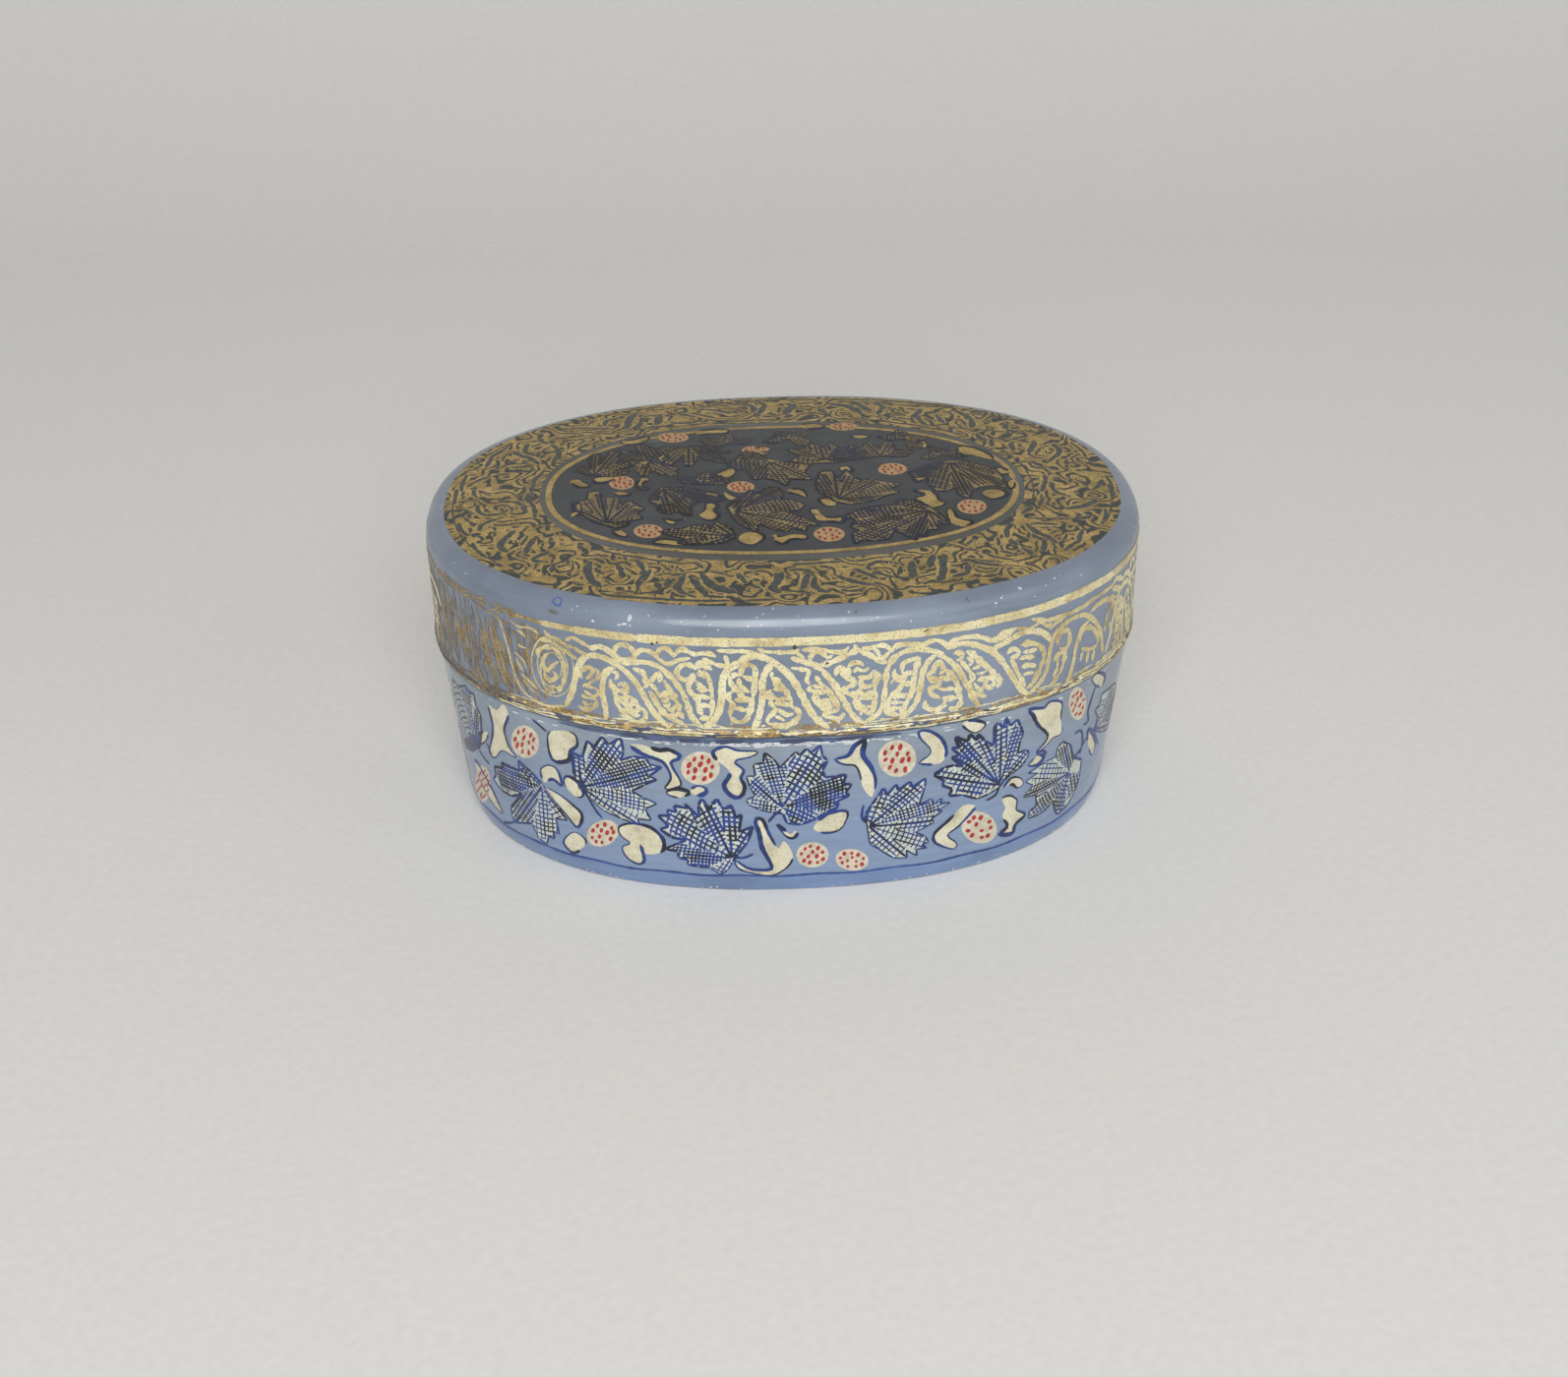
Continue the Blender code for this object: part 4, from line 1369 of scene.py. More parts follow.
# Leaves near enough to trace: end of the stalk, tips of the lobes, outline
MEDALLION_LEAVES = (
    ((617, 532), ((588, 519), (597, 507), (610, 502), (625, 507), (640, 512), (653, 518), (650, 528)),
     ((616, 534), (600, 529), (590, 522), (582, 518), (589, 510), (596, 509), (598, 501), (608, 499),
      (613, 505), (619, 506), (628, 506), (632, 513), (641, 509), (646, 513), (656, 517), (648, 522),
      (654, 527), (641, 530), (637, 535), (625, 537))),
    ((745, 545), ((675, 541), (702, 536), (690, 552), (727, 533), (718, 553)),
     ((748, 546), (743, 536), (735, 534), (728, 530), (722, 537), (718, 533), (708, 534), (700, 535),
      (692, 538), (683, 537), (671, 541), (682, 545), (697, 548), (688, 552), (700, 554), (715, 553),
      (728, 553), (738, 551))),
    ((674, 497), ((735, 506), (717, 502), (699, 522), (682, 521), (664, 509)),
     ((672, 496), (662, 504), (660, 510), (667, 513), (670, 520), (680, 523), (688, 520), (702, 525),
      (702, 515), (712, 509), (725, 511), (737, 508), (730, 502), (715, 499), (700, 496), (685, 495))),
    ((747, 520), ((766, 500), (791, 497), (818, 513), (830, 534), (817, 539), (766, 540)),
     ((739, 516), (745, 508), (756, 507), (762, 498), (769, 502), (780, 496), (790, 495), (797, 502),
      (793, 508), (805, 508), (820, 513), (812, 519), (800, 521), (818, 526), (834, 534), (820, 534),
      (820, 540), (805, 537), (800, 541), (785, 538), (771, 533), (770, 541), (755, 535), (746, 528))),
    ((944, 519), ((862, 524), (868, 534), (871, 551), (913, 510), (930, 548), (953, 537), (963, 532)),
     ((946, 516), (935, 511), (925, 508), (910, 509), (914, 514), (898, 514), (882, 516), (868, 520),
      (858, 525), (870, 529), (864, 536), (874, 539), (866, 542), (869, 553), (880, 549), (890, 550),
      (904, 548), (910, 539), (920, 544), (931, 550), (935, 543), (942, 546), (943, 539), (956, 538),
      (951, 533), (966, 533), (958, 524), (953, 520))),
    ((852, 508), ((835, 483), (848, 482), (864, 484), (890, 488), (914, 494), (898, 505)),
     ((849, 510), (840, 504), (831, 500), (829, 490), (834, 479), (846, 479), (852, 487), (860, 477),
      (868, 484), (875, 488), (887, 487), (900, 490), (918, 492), (905, 497), (915, 501), (900, 504),
      (890, 509), (878, 511), (865, 513))),
    ((965, 470), ((928, 482), (955, 497), (984, 504), (1000, 493), (1019, 493), (1013, 481)),
     ((964, 468), (950, 471), (936, 476), (923, 481), (930, 486), (942, 485), (944, 493), (952, 500),
      (965, 499), (972, 496), (974, 503), (986, 507), (989, 499), (998, 495), (1010, 494), (1024, 496),
      (1020, 486), (1013, 478), (1000, 473), (985, 469))),
    ((782, 470), ((756, 462), (742, 474), (770, 486), (800, 492), (822, 486), (812, 474)),
     ((782, 467), (768, 460), (754, 460), (750, 466), (738, 472), (748, 477), (760, 478), (766, 488),
      (776, 486), (786, 488), (800, 494), (804, 487), (826, 488), (818, 480), (824, 473), (804, 470))),
    ((838, 468), ((866, 456), (832, 452), (806, 458), (872, 466), (810, 468)),
     ((838, 471), (820, 472), (803, 469), (812, 464), (800, 457), (816, 457), (826, 450), (836, 455),
      (844, 450), (854, 456), (870, 453), (866, 460), (880, 466), (862, 468), (850, 471))),
)

# Leaves at the back, which the photo shows only faintly: end of the stalk, then tips
FAINT_LEAVES = (
    ((604, 484), ((590, 474), (606, 462), (628, 458), (650, 468), (640, 479))),
    ((700, 454), ((664, 462), (676, 474), (700, 474), (736, 470), (742, 460))),
    ((660, 470), ((630, 458), (650, 452), (688, 484), (654, 484))),
    ((735, 452), ((712, 446), (742, 441), (764, 446), (716, 458))),
    ((800, 446), ((776, 450), (790, 438), (822, 440), (826, 452))),
    ((895, 464), ((864, 462), (880, 450), (904, 449), (928, 458))),
    ((920, 446), ((892, 444), (912, 437), (944, 444), (936, 456))),
    ((958, 462), ((936, 466), (948, 454), (972, 454), (984, 464))),
    ((715, 492), ((690, 486), (718, 480), (742, 488))),
)

MEDALLION_BERRIES = (
    ((659, 540), 15, 7),
    ((632, 491), 13, 7),
    ((684, 445), 16, 5),
    ((768, 458), 14, 4.5),
    ((753, 495), 14, 5.5),
    ((843, 543), 16, 7.5),
    ((907, 477), 15, 6),
    ((988, 515), 15, 7.5),
    ((857, 434), 15, 4),
)

# Small gold shapes
MEDALLION_BLOBS = (
    ((717, 513), (724, 511), (730, 514), (727, 519), (731, 524), (725, 529), (716, 528), (711, 524),
     (717, 518)),
    ((750, 547), (757, 542), (768, 541), (777, 545), (774, 550), (765, 554), (754, 552)),
    ((783, 545), (789, 543), (792, 546), (805, 543), (820, 544), (819, 548), (805, 548), (795, 553)),
    ((823, 518), (828, 516), (832, 519), (836, 524), (845, 526), (858, 525), (856, 531), (845, 530),
     (833, 530), (828, 526)),
    ((930, 507), (940, 503), (929, 499), (943, 499), (952, 503), (955, 509), (962, 511), (956, 515),
     (945, 516), (938, 511)),
    ((962, 520), (966, 517), (970, 520), (974, 526), (985, 529), (989, 531), (982, 535), (972, 534),
     (965, 529)),
    ((998, 501), (1006, 497), (1018, 498), (1024, 502), (1018, 506), (1006, 507)),
    ((1024, 490), (1029, 488), (1032, 492), (1029, 497), (1025, 495)),
    ((727, 482), (735, 478), (745, 476), (748, 480), (742, 485), (731, 484)),
    ((974, 454), (990, 455), (1006, 462), (1008, 467), (990, 463), (975, 462)),
    ((625, 501), (635, 500), (641, 502), (637, 504), (628, 504)),
    ((648, 490), (655, 486), (662, 488), (655, 490), (654, 494), (660, 497), (652, 498), (647, 494)),
    ((674, 527), (685, 529), (697, 528), (691, 532), (681, 533)),
    ((800, 498), (812, 497), (818, 500), (820, 506), (812, 503), (803, 501)),
    ((580, 525), (584, 519), (582, 512), (588, 510), (591, 516), (589, 523)),
    ((622, 539), (628, 538), (634, 541), (638, 545), (630, 545), (624, 542)),
    ((579, 490), (588, 486), (592, 490), (600, 494), (590, 496), (584, 493)),
    ((632, 449), (645, 447), (658, 444), (659, 447), (648, 451), (634, 452)),
    ((708, 439), (722, 437), (740, 437), (738, 440), (722, 441), (710, 442)),
    ((812, 433), (822, 431), (836, 432), (836, 435), (820, 436)),
    ((864, 443), (876, 442), (884, 444), (874, 446)),
    ((932, 449), (938, 448), (944, 452), (942, 455), (936, 453)),
    ((853, 476), (862, 474), (867, 478), (860, 481)),
    ((928, 484), (936, 483), (940, 487), (932, 490)),
    ((736, 500), (744, 503), (752, 507), (750, 511), (740, 508)),
    ((755, 462), (760, 458), (766, 460), (762, 466), (756, 466)),
    ((603, 487), (615, 485), (625, 486), (618, 490), (606, 491)),
    ((664, 552), (672, 548), (685, 549), (700, 552), (688, 554)),
    ((832, 508), (842, 506), (850, 512), (842, 515)),
    ((884, 517), (892, 514), (897, 518), (888, 520)),
    ((668, 466), (674, 463), (680, 466), (674, 470)),
    ((640, 473), (650, 472), (660, 474), (648, 477)),
    ((770, 455), (778, 454), (784, 457), (776, 460)),
    ((1012, 476), (1020, 476), (1026, 481), (1018, 482)),
)

# The ring round the medallion is gold, and its pattern is what the gold leaves bare. The gaps are traced as
# width in mm and points (run round the box, share of the way across the ring).
RING_GAPS = (
    (0.4, (-38, 0), (-36, 0), (-34, 0), (-32, 0), (-30, -0.01), (-28, 0), (-26, 0.01), (-24, 0),
     (-22, 0.02), (-20, 0.04)),
    (0.4, (-18.4, 0), (-17.4, 0.03), (-16.6, 0.08), (-16, 0.13)),
    (0.65, (-35, 0.02), (-34.2, 0.06), (-33.6, 0.12), (-32.8, 0.18)),
    (0.4, (-32.4, 0.02), (-31.4, 0.08), (-30.6, 0.12)),
    (0.55, (-30, 0.06), (-29, 0.08), (-28, 0.14), (-27, 0.2), (-26.2, 0.26), (-25.6, 0.32), (-25.4, 0.42)),
    (0.4, (-25.6, 0.02), (-24.8, 0.06), (-24.6, 0.12)),
    (0.8, (-24.8, 0.26), (-24.6, 0.34), (-24.4, 0.44), (-24.2, 0.54), (-24, 0.64), (-23.5, 0.73)),
    (0.65, (-31, 0.26), (-30.2, 0.32), (-29.4, 0.36), (-28.6, 0.44), (-27.8, 0.5), (-27.2, 0.57)),
    (0.35, (-29.4, 0.28), (-28.6, 0.32), (-27.8, 0.34)),
    (0.85, (-36, 0.3), (-35.2, 0.4), (-34.4, 0.48), (-33.6, 0.56), (-32.6, 0.62), (-31.6, 0.7),
     (-30.6, 0.76), (-29.6, 0.8), (-28.4, 0.86)),
    (0.45, (-36.4, 0.25), (-35.2, 0.23), (-34, 0.26), (-33.2, 0.3)),
    (0.45, (-33.6, 0.42), (-32.6, 0.48), (-31.6, 0.52), (-30.6, 0.5)),
    (0.35, (-29.4, 0.68), (-28.4, 0.72), (-27.6, 0.76)),
    (0.5, (-38.4, 0.78), (-37.2, 0.84)),
    (0.45, (-38, 0.44), (-37, 0.5)),
    (0.5, (-36.2, 0.64), (-35.4, 0.7), (-34.6, 0.74)),
    (0.5, (-33, 0.86), (-32, 0.88), (-31, 0.86)),
    (0.4, (-22.8, 0.18), (-21.8, 0.22), (-21, 0.24)),
    (0.4, (-22.4, 0.32), (-21.4, 0.33), (-20.4, 0.3)),
    (0.65, (-21.8, 0.56), (-21.2, 0.62), (-20.6, 0.68), (-20.2, 0.73)),
    (0.6, (-20.6, 0.44), (-20, 0.5), (-19.8, 0.58), (-20, 0.64)),
    (0.35, (-21.6, 0.44), (-21, 0.5)),
    (0.5, (-20.4, 0.14), (-19.6, 0.2), (-18.8, 0.25)),
    (0.7, (-18.4, 0.3), (-18.2, 0.42), (-18, 0.5), (-18, 0.58), (-17.8, 0.66), (-17.2, 0.72),
     (-16.4, 0.78), (-15.4, 0.82)),
    (0.6, (-18.4, 0.75), (-18.7, 0.83)),
    (0.4, (-17.8, 0.86), (-17.4, 0.92), (-16.8, 0.96)),
    (0.85, (-17, 0.38), (-16.4, 0.44), (-15.6, 0.5), (-15, 0.58), (-14.2, 0.66), (-13.4, 0.74),
     (-12.6, 0.82)),
    (1, (-15.8, 0.26), (-15, 0.34), (-14.4, 0.4), (-13.6, 0.48), (-12.8, 0.56), (-11.8, 0.62),
     (-10.8, 0.66), (-9.6, 0.7), (-8.6, 0.74)),
    (0.35, (-16, 0.8), (-15, 0.84), (-14, 0.88)),
    (0.4, (-14.6, 0.18), (-13.6, 0.2), (-12.4, 0.22), (-11.6, 0.26)),
    (0.5, (-13.4, 0.82), (-12, 0.84), (-10.6, 0.85), (-10, 0.83)),
    (0.55, (-10.8, 0.08), (-10.2, 0.15)),
    (0.7, (-9.6, 0.22), (-9, 0.3), (-8.6, 0.36), (-8, 0.42), (-7.6, 0.5)),
    (0.4, (-7.4, 0.2), (-6.4, 0.24), (-5.6, 0.28)),
    (0.45, (-6.6, 0.36), (-6, 0.42), (-5.4, 0.44)),
    (0.75, (-6.4, 0.56), (-5.6, 0.6), (-5, 0.62)),
    (0.55, (-7, 0.66), (-6.6, 0.74)),
    (0.95, (-1.6, 0.2), (-2.2, 0.3), (-2.4, 0.4), (-2.8, 0.5), (-3.2, 0.58), (-3.2, 0.66), (-2.6, 0.7),
     (-2, 0.76)),
    (0.35, (-1.2, 0.3), (-0.8, 0.36), (-0.4, 0.41)),
    (0.45, (-27.6, 0.98), (-26.6, 1.01), (-25, 1.01), (-23, 0.99), (-21, 0.98), (-19, 0.97), (-17, 0.97),
     (-15, 0.96), (-13, 0.96), (-11, 0.95), (-9, 0.94)),
    (0.4, (-7, 0.94), (-5, 0.93), (-2.4, 0.92)),
    (0.45, (-25, 0.88), (-24, 0.86), (-23.2, 0.88)),
    (0.4, (0, -0.01), (2, -0.01), (4, -0.01), (6, -0.02), (8, -0.02), (9.4, -0.01)),
    (0.35, (12, 0), (14, -0.01), (16, -0.03), (18, -0.03), (20, -0.02)),
    (0.55, (-0.6, 0.17), (0.2, 0.15), (0.8, 0.14), (1.8, 0.15), (2.6, 0.18), (3.2, 0.24)),
    (0.7, (3, 0.26), (2.4, 0.34), (2.1, 0.42), (1.9, 0.5), (1.6, 0.58), (1.4, 0.64), (1, 0.68)),
    (0.75, (3.8, 0.34), (3.5, 0.42), (3.3, 0.5), (3.2, 0.58), (3.5, 0.66), (4, 0.72), (4.8, 0.76),
     (5.6, 0.74)),
    (0.4, (5.2, 0.34), (5.7, 0.42), (6, 0.48)),
    (0.75, (1.6, 0.74), (2, 0.8), (2.2, 0.86)),
    (0.7, (7.4, 0.34), (8, 0.42), (8.8, 0.48), (9.6, 0.54), (10.6, 0.6), (11.6, 0.64), (12.4, 0.66)),
    (0.45, (7, 0.72), (8, 0.78), (9.4, 0.77), (10.6, 0.74)),
    (0.5, (7, 0.9), (8.4, 0.88), (9.8, 0.87)),
    (0.5, (10.8, 0.2), (11.6, 0.28), (12.2, 0.34), (12.8, 0.4), (13.2, 0.46), (13.6, 0.54)),
    (0.6, (13.6, 0.28), (13.4, 0.2), (14, 0.15), (15, 0.1), (16, 0.08), (17, 0.1), (18, 0.13),
     (18.8, 0.17), (19, 0.22)),
    (0.55, (13.8, 0.3), (14.4, 0.38), (15, 0.44), (15.8, 0.5), (16.2, 0.54)),
    (0.55, (19, 0.26), (18.4, 0.34), (17.8, 0.42), (17.2, 0.5)),
    (0.9, (22, 0.18), (21.2, 0.24), (20.6, 0.32), (20, 0.4), (19.6, 0.48), (19, 0.56), (18.4, 0.62)),
    (0.55, (25, 0.08), (24, 0.11), (23, 0.12), (22.2, 0.16)),
    (0.8, (26.6, 0.1), (26, 0.16), (25.2, 0.22), (24.4, 0.28), (23.6, 0.36), (23, 0.42)),
    (0.75, (28, 0.24), (27, 0.28), (26.2, 0.34), (25.6, 0.4), (25, 0.48), (24.4, 0.54), (23.8, 0.6),
     (23, 0.68), (22.2, 0.74), (21.6, 0.8)),
    (0.6, (24.4, 0.72), (26, 0.72), (27.2, 0.7), (27.8, 0.64), (28.6, 0.56), (29, 0.5)),
    (0.8, (29.6, 0.23), (30.4, 0.18), (31, 0.18)),
    (0.55, (28.8, 0.42), (29.6, 0.4), (30.4, 0.42), (30.8, 0.5), (31.4, 0.58), (32, 0.64), (32.8, 0.7),
     (34, 0.74)),
    (0.4, (31.4, 0.42), (32, 0.5), (32.6, 0.56), (33.6, 0.6)),
    (0.5, (28, 0.86), (29, 0.88), (30.4, 0.9)),
    (0.4, (14.6, 0.84), (16, 0.85), (17, 0.8), (18, 0.84), (20, 0.86)),
    (0.5, (36.4, 0.86), (37.6, 0.88)),
    (0.4, (34.6, 0.36), (34.4, 0.46), (34.8, 0.54), (35.4, 0.62), (36, 0.68)),
    (0.45, (37, 0.4), (37.4, 0.5), (37.6, 0.57)),
    (0.5, (31, -0.02), (32, -0.03), (33, -0.02)),
    (0.4, (34.6, 0.06), (36, 0.02), (37.6, -0.02)),
    (0.4, (33, 0.14), (33.8, 0.2), (34.4, 0.28)),
    (0.35, (19.6, 0.62), (21, 0.6), (22.2, 0.58)),
    (0.4, (21, 0.46), (21.6, 0.42)),
    (0.35, (6.2, 0.62), (7, 0.66), (8, 0.66)),
    (0.35, (9, 0.12), (10, 0.16)),
    (0.35, (6.2, 0.2), (7, 0.16)),
    (0.4, (38.2, 0.52), (39, 0.56), (39.4, 0.5)),
    (0.4, (38.4, 0.3), (39.4, 0.24), (40.4, 0.18), (41.4, 0.12)),
    (0.7, (48.4, 0.02), (47, 0.03), (46, 0.05), (44.8, 0.08), (44, 0.12), (43, 0.17), (42.2, 0.21)),
    (0.75, (42, 0.25), (41.4, 0.32), (41, 0.38), (40.8, 0.44)),
    (0.65, (40.6, 0.49), (40.2, 0.58), (40, 0.64), (39.4, 0.7), (39, 0.74)),
    (0.5, (44.2, 0.4), (45, 0.36), (45.8, 0.33), (46.6, 0.3)),
    (0.65, (46.2, 0.36), (45.6, 0.42), (45.4, 0.5), (45, 0.56), (44.4, 0.6), (43.6, 0.64), (42.6, 0.68),
     (41.6, 0.74)),
    (0.65, (50, 0.15), (49, 0.2), (48.4, 0.26), (47.6, 0.34), (47, 0.42), (46.8, 0.5), (46.4, 0.58),
     (45.8, 0.66), (45.2, 0.72)),
    (0.45, (50.2, 0.18), (50.8, 0.24), (51.2, 0.32), (51.6, 0.4), (52, 0.48)),
    (0.5, (52.4, 0.1), (52.8, 0.16), (53, 0.24), (53.4, 0.3)),
    (0.6, (53.6, 0), (54.8, -0.01), (56, 0.02), (57.4, 0.03), (58.8, 0)),
    (0.6, (54, 0.4), (54.6, 0.46), (55, 0.53)),
    (0.65, (55.4, 0.6), (56, 0.66), (56.8, 0.72), (57.8, 0.76)),
    (0.5, (51.4, 0.64), (52.4, 0.62), (53, 0.66)),
    (0.35, (46.6, 0.73), (48, 0.71), (49.4, 0.67)),
    (0.5, (52.2, 0.78), (51, 0.8), (50, 0.82), (49, 0.84), (48, 0.88), (46.4, 0.87), (45, 0.88),
     (43.6, 0.9)),
    (0.45, (58.2, 0.12), (60, 0.11), (62, 0.12), (63.6, 0.1), (65, 0.1)),
    (0.5, (59.8, 0.3), (60.6, 0.26), (61.4, 0.28)),
    (0.8, (58.8, 0.42), (59.6, 0.48), (60.2, 0.54), (60.8, 0.6), (61.6, 0.65), (62.4, 0.69), (63.4, 0.74),
     (64.4, 0.76)),
    (0.55, (64.8, 0.46), (65.2, 0.38), (65.8, 0.32), (66.6, 0.27), (68, 0.24), (69.6, 0.24), (71, 0.26)),
    (0.5, (66, 0.1), (67.6, 0.12), (69.4, 0.14), (71, 0.17), (73, 0.19), (75, 0.2)),
    (0.6, (68.4, 0.72), (69, 0.78), (70, 0.82), (71, 0.82)),
    (0.4, (70.8, 0.46), (72, 0.5), (73.4, 0.48)),
    (0.4, (72, 0.34), (73.6, 0.36)),
    (0.4, (66, 0.98), (68, 0.97), (70, 0.98), (72, 0.98), (74, 0.96)),
    (0.45, (55, 0.93), (57, 0.92), (59, 0.91), (61, 0.88)),
    (0.35, (48, 0.54), (49, 0.52), (50, 0.56)),
    (0.35, (48.8, 0.34), (49.8, 0.38), (50.4, 0.44)),
    (0.5, (-76, 0.12), (-74.4, 0.1), (-73, 0.12), (-72, 0.15), (-71.2, 0.2)),
    (0.5, (-72, 0.04), (-70.6, 0.05), (-69, 0.05), (-68.2, 0.02)),
    (0.5, (-67, -0.02), (-65, -0.02), (-63.4, -0.02), (-62, -0.01), (-60.6, 0.02), (-59.4, 0.02)),
    (0.6, (-69.4, 0.4), (-69.2, 0.32), (-68.8, 0.24), (-68.2, 0.18), (-67.2, 0.13), (-66, 0.1),
     (-64.6, 0.1), (-63.2, 0.1), (-62.4, 0.14), (-62.6, 0.22), (-63.2, 0.28)),
    (0.35, (-67.4, 0.3), (-66.4, 0.26), (-65.2, 0.24), (-64.2, 0.26)),
    (0.35, (-66.6, 0.38), (-65.4, 0.36), (-64.4, 0.34)),
    (0.5, (-63.6, 0.36), (-63.8, 0.46), (-64, 0.54), (-64.8, 0.6), (-66, 0.64), (-67.6, 0.65), (-69, 0.64)),
    (0.35, (-68, 0.57), (-66.8, 0.56)),
    (0.55, (-61.8, 0.44), (-61.6, 0.52), (-61, 0.6), (-60.4, 0.66), (-59.4, 0.7), (-58.4, 0.72)),
    (0.4, (-59, 0.56), (-58.2, 0.54), (-57.2, 0.57)),
    (0.5, (-56.6, 0.58), (-55.8, 0.6), (-55.2, 0.63)),
    (0.55, (-58.4, 0.28), (-58.2, 0.2), (-57.8, 0.14), (-57, 0.11), (-56, 0.11), (-55, 0.14)),
    (0.7, (-55.8, 0.36), (-55, 0.42), (-54.2, 0.48), (-53.6, 0.54), (-52.8, 0.6), (-52, 0.65), (-51, 0.69),
     (-49.8, 0.7), (-48.6, 0.7)),
    (0.6, (-55.4, -0.03), (-54.2, -0.01), (-53.2, 0.02), (-52.4, 0.05)),
    (0.4, (-51, -0.01), (-50, 0), (-49.2, 0.02)),
    (0.65, (-49.4, 0.11), (-48.6, 0.14), (-47.6, 0.18), (-46.6, 0.21), (-45.8, 0.26), (-45.4, 0.33)),
    (0.6, (-51, 0.26), (-50, 0.32), (-49.2, 0.38), (-48.4, 0.44), (-47.6, 0.5), (-46.8, 0.54), (-46, 0.58)),
    (0.35, (-52.6, 0.3), (-51.6, 0.34), (-50.8, 0.4), (-50, 0.46), (-49.4, 0.5)),
    (0.4, (-52, 0.46), (-51, 0.5)),
    (0.4, (-48.4, 0.26), (-47.4, 0.3), (-46.8, 0.34)),
    (0.65, (-44.4, 0.36), (-44.2, 0.44), (-44.2, 0.52), (-44, 0.6), (-43.2, 0.64), (-42.4, 0.6),
     (-42, 0.55)),
    (0.5, (-43.6, 0.3), (-43, 0.26), (-42.4, 0.22), (-41.4, 0.2), (-40.6, 0.22), (-40, 0.26)),
    (0.7, (-43, 0.02), (-42, 0.06), (-41, 0.08), (-40, 0.1), (-39, 0.15), (-38.4, 0.18)),
    (0.45, (-46, 0.12), (-45.2, 0.16)),
    (0.45, (-41.8, 0.48), (-41, 0.52), (-40.6, 0.58)),
    (0.65, (-39.8, 0.58), (-39.2, 0.64), (-38.6, 0.7), (-38, 0.76)),
    (0.5, (-40.4, 0.76), (-39.6, 0.82)),
    (0.4, (-42.6, 0.8), (-41.8, 0.84)),
    (0.45, (-39.4, 0.4), (-38.6, 0.46), (-38, 0.5)),
    (0.5, (-66, 0.74), (-65, 0.76), (-63.6, 0.76)),
    (0.5, (-57, 0.8), (-56, 0.76), (-54.8, 0.78)),
    (0.45, (-62.8, 0.9), (-61, 0.92), (-59, 0.9), (-57.4, 0.88)),
    (0.45, (-55, 0.9), (-53, 0.93), (-51, 0.95), (-49, 0.96)),
    (0.5, (-46.4, 0.97), (-44.8, 0.97)),
    (0.6, (-43.6, 0.97), (-42.2, 0.98)),
    (0.6, (-41, 0.96), (-39.6, 0.98)),
    (0.45, (-76, 0.95), (-73, 0.94), (-70, 0.93)),
    (0.45, (-76, 0.72), (-74.6, 0.73), (-73, 0.7), (-72.4, 0.66)),
    (0.4, (-75, 0.85), (-73, 0.86)),
)

# The gaps between these runs are repeated round the back
RING_BLOCK = (-60.0, 60.0)
RING_BACK = (76.0, 212.0)

GAP_WIDENING = 1.3  # the gaps are painted this much broader than traced, so that they read at a distance
GAP_EDGE = 0.95  # gold laid under a gap, beyond its two sides together

RING_TOUCHES = 900

# Broken lines of bare ground at the ring's borders, at the back: share of the way across, width, part skipped
RING_BORDERS = ((0.005, 0.32, 0.2), (0.95, 0.36, 0.35))


def oval_line(half_length, half_width, count):
    """Points of an oval on the lid's top, the last one on the first."""
    return [oval_of(2 * math.pi * i / count, half_length, half_width) for i in range(count + 1)]


def lobed(base, tips):
    """Base, tips and a toothed outline for a leaf of which only these are known."""
    sketch = Leaf(base, tips, [])
    outline = [base]
    for lobe, (angle, reach) in enumerate(sketch.lobes):
        right, left = (min(half, 0.5) for half in sketch.halves[lobe])
        for share, offset in ((0.5, -right), (0.78, -right * 0.75), (0.74, -right * 0.5), (0.92, -0.12)):
            outline.append(polar(base, angle + offset, reach * share))
        outline.append(polar(base, angle, reach * 1.02))
        for share, offset in ((0.92, 0.12), (0.74, left * 0.5), (0.78, left * 0.75)):
            outline.append(polar(base, angle + offset, reach * share))
    last, reach = sketch.lobes[-1]
    outline.append(polar(base, last + min(sketch.halves[-1][1], 0.5), reach * 0.5))
    return base, tips, outline


def paint_medallion(work):
    """Dark leaves, gold shapes and orange berries inside a gold line."""
    for base, tips in FAINT_LEAVES:
        leaf = Leaf(*lobed(pick_top(base), [pick_top(tip) for tip in tips]))
        paint_leaf(work, leaf, "dull_gold", "black_ink", "black_ink", 0.42, 0.27, 0.66)
    for base, tips, outline in MEDALLION_LEAVES:
        leaf = Leaf(pick_top(base), [pick_top(tip) for tip in tips], [pick_top(spot) for spot in outline])
        paint_leaf(work, leaf, "dull_gold", "black_ink", "black_ink", 0.5, 0.29, 0.68)
    for middle, across, up in MEDALLION_BERRIES:
        paint_berry(work, berry_outline(pick_top, middle, across, up), "orange", "red")
    for outline in MEDALLION_BLOBS:
        paint_blob(work, [pick_top(pixel) for pixel in outline][::-1], "gold", "black_ink", 0.38)
    work.stroke("gold", oval_line(*MEDALLION_LINE, 200), MEDALLION_LINE_WIDTH, step=0.7, shake=0.1)


def ring_spot(run, share):
    """A point on the way across the ring, from its inside (share 0) to its outside (share 1)."""
    x, y = oval(turn_at(run), 0)
    half_length, half_width = (inner + wide * share for inner, wide in zip(RING_INNER, RING_ACROSS))
    return x / HALF_LENGTH * half_length, y / HALF_WIDTH * half_width


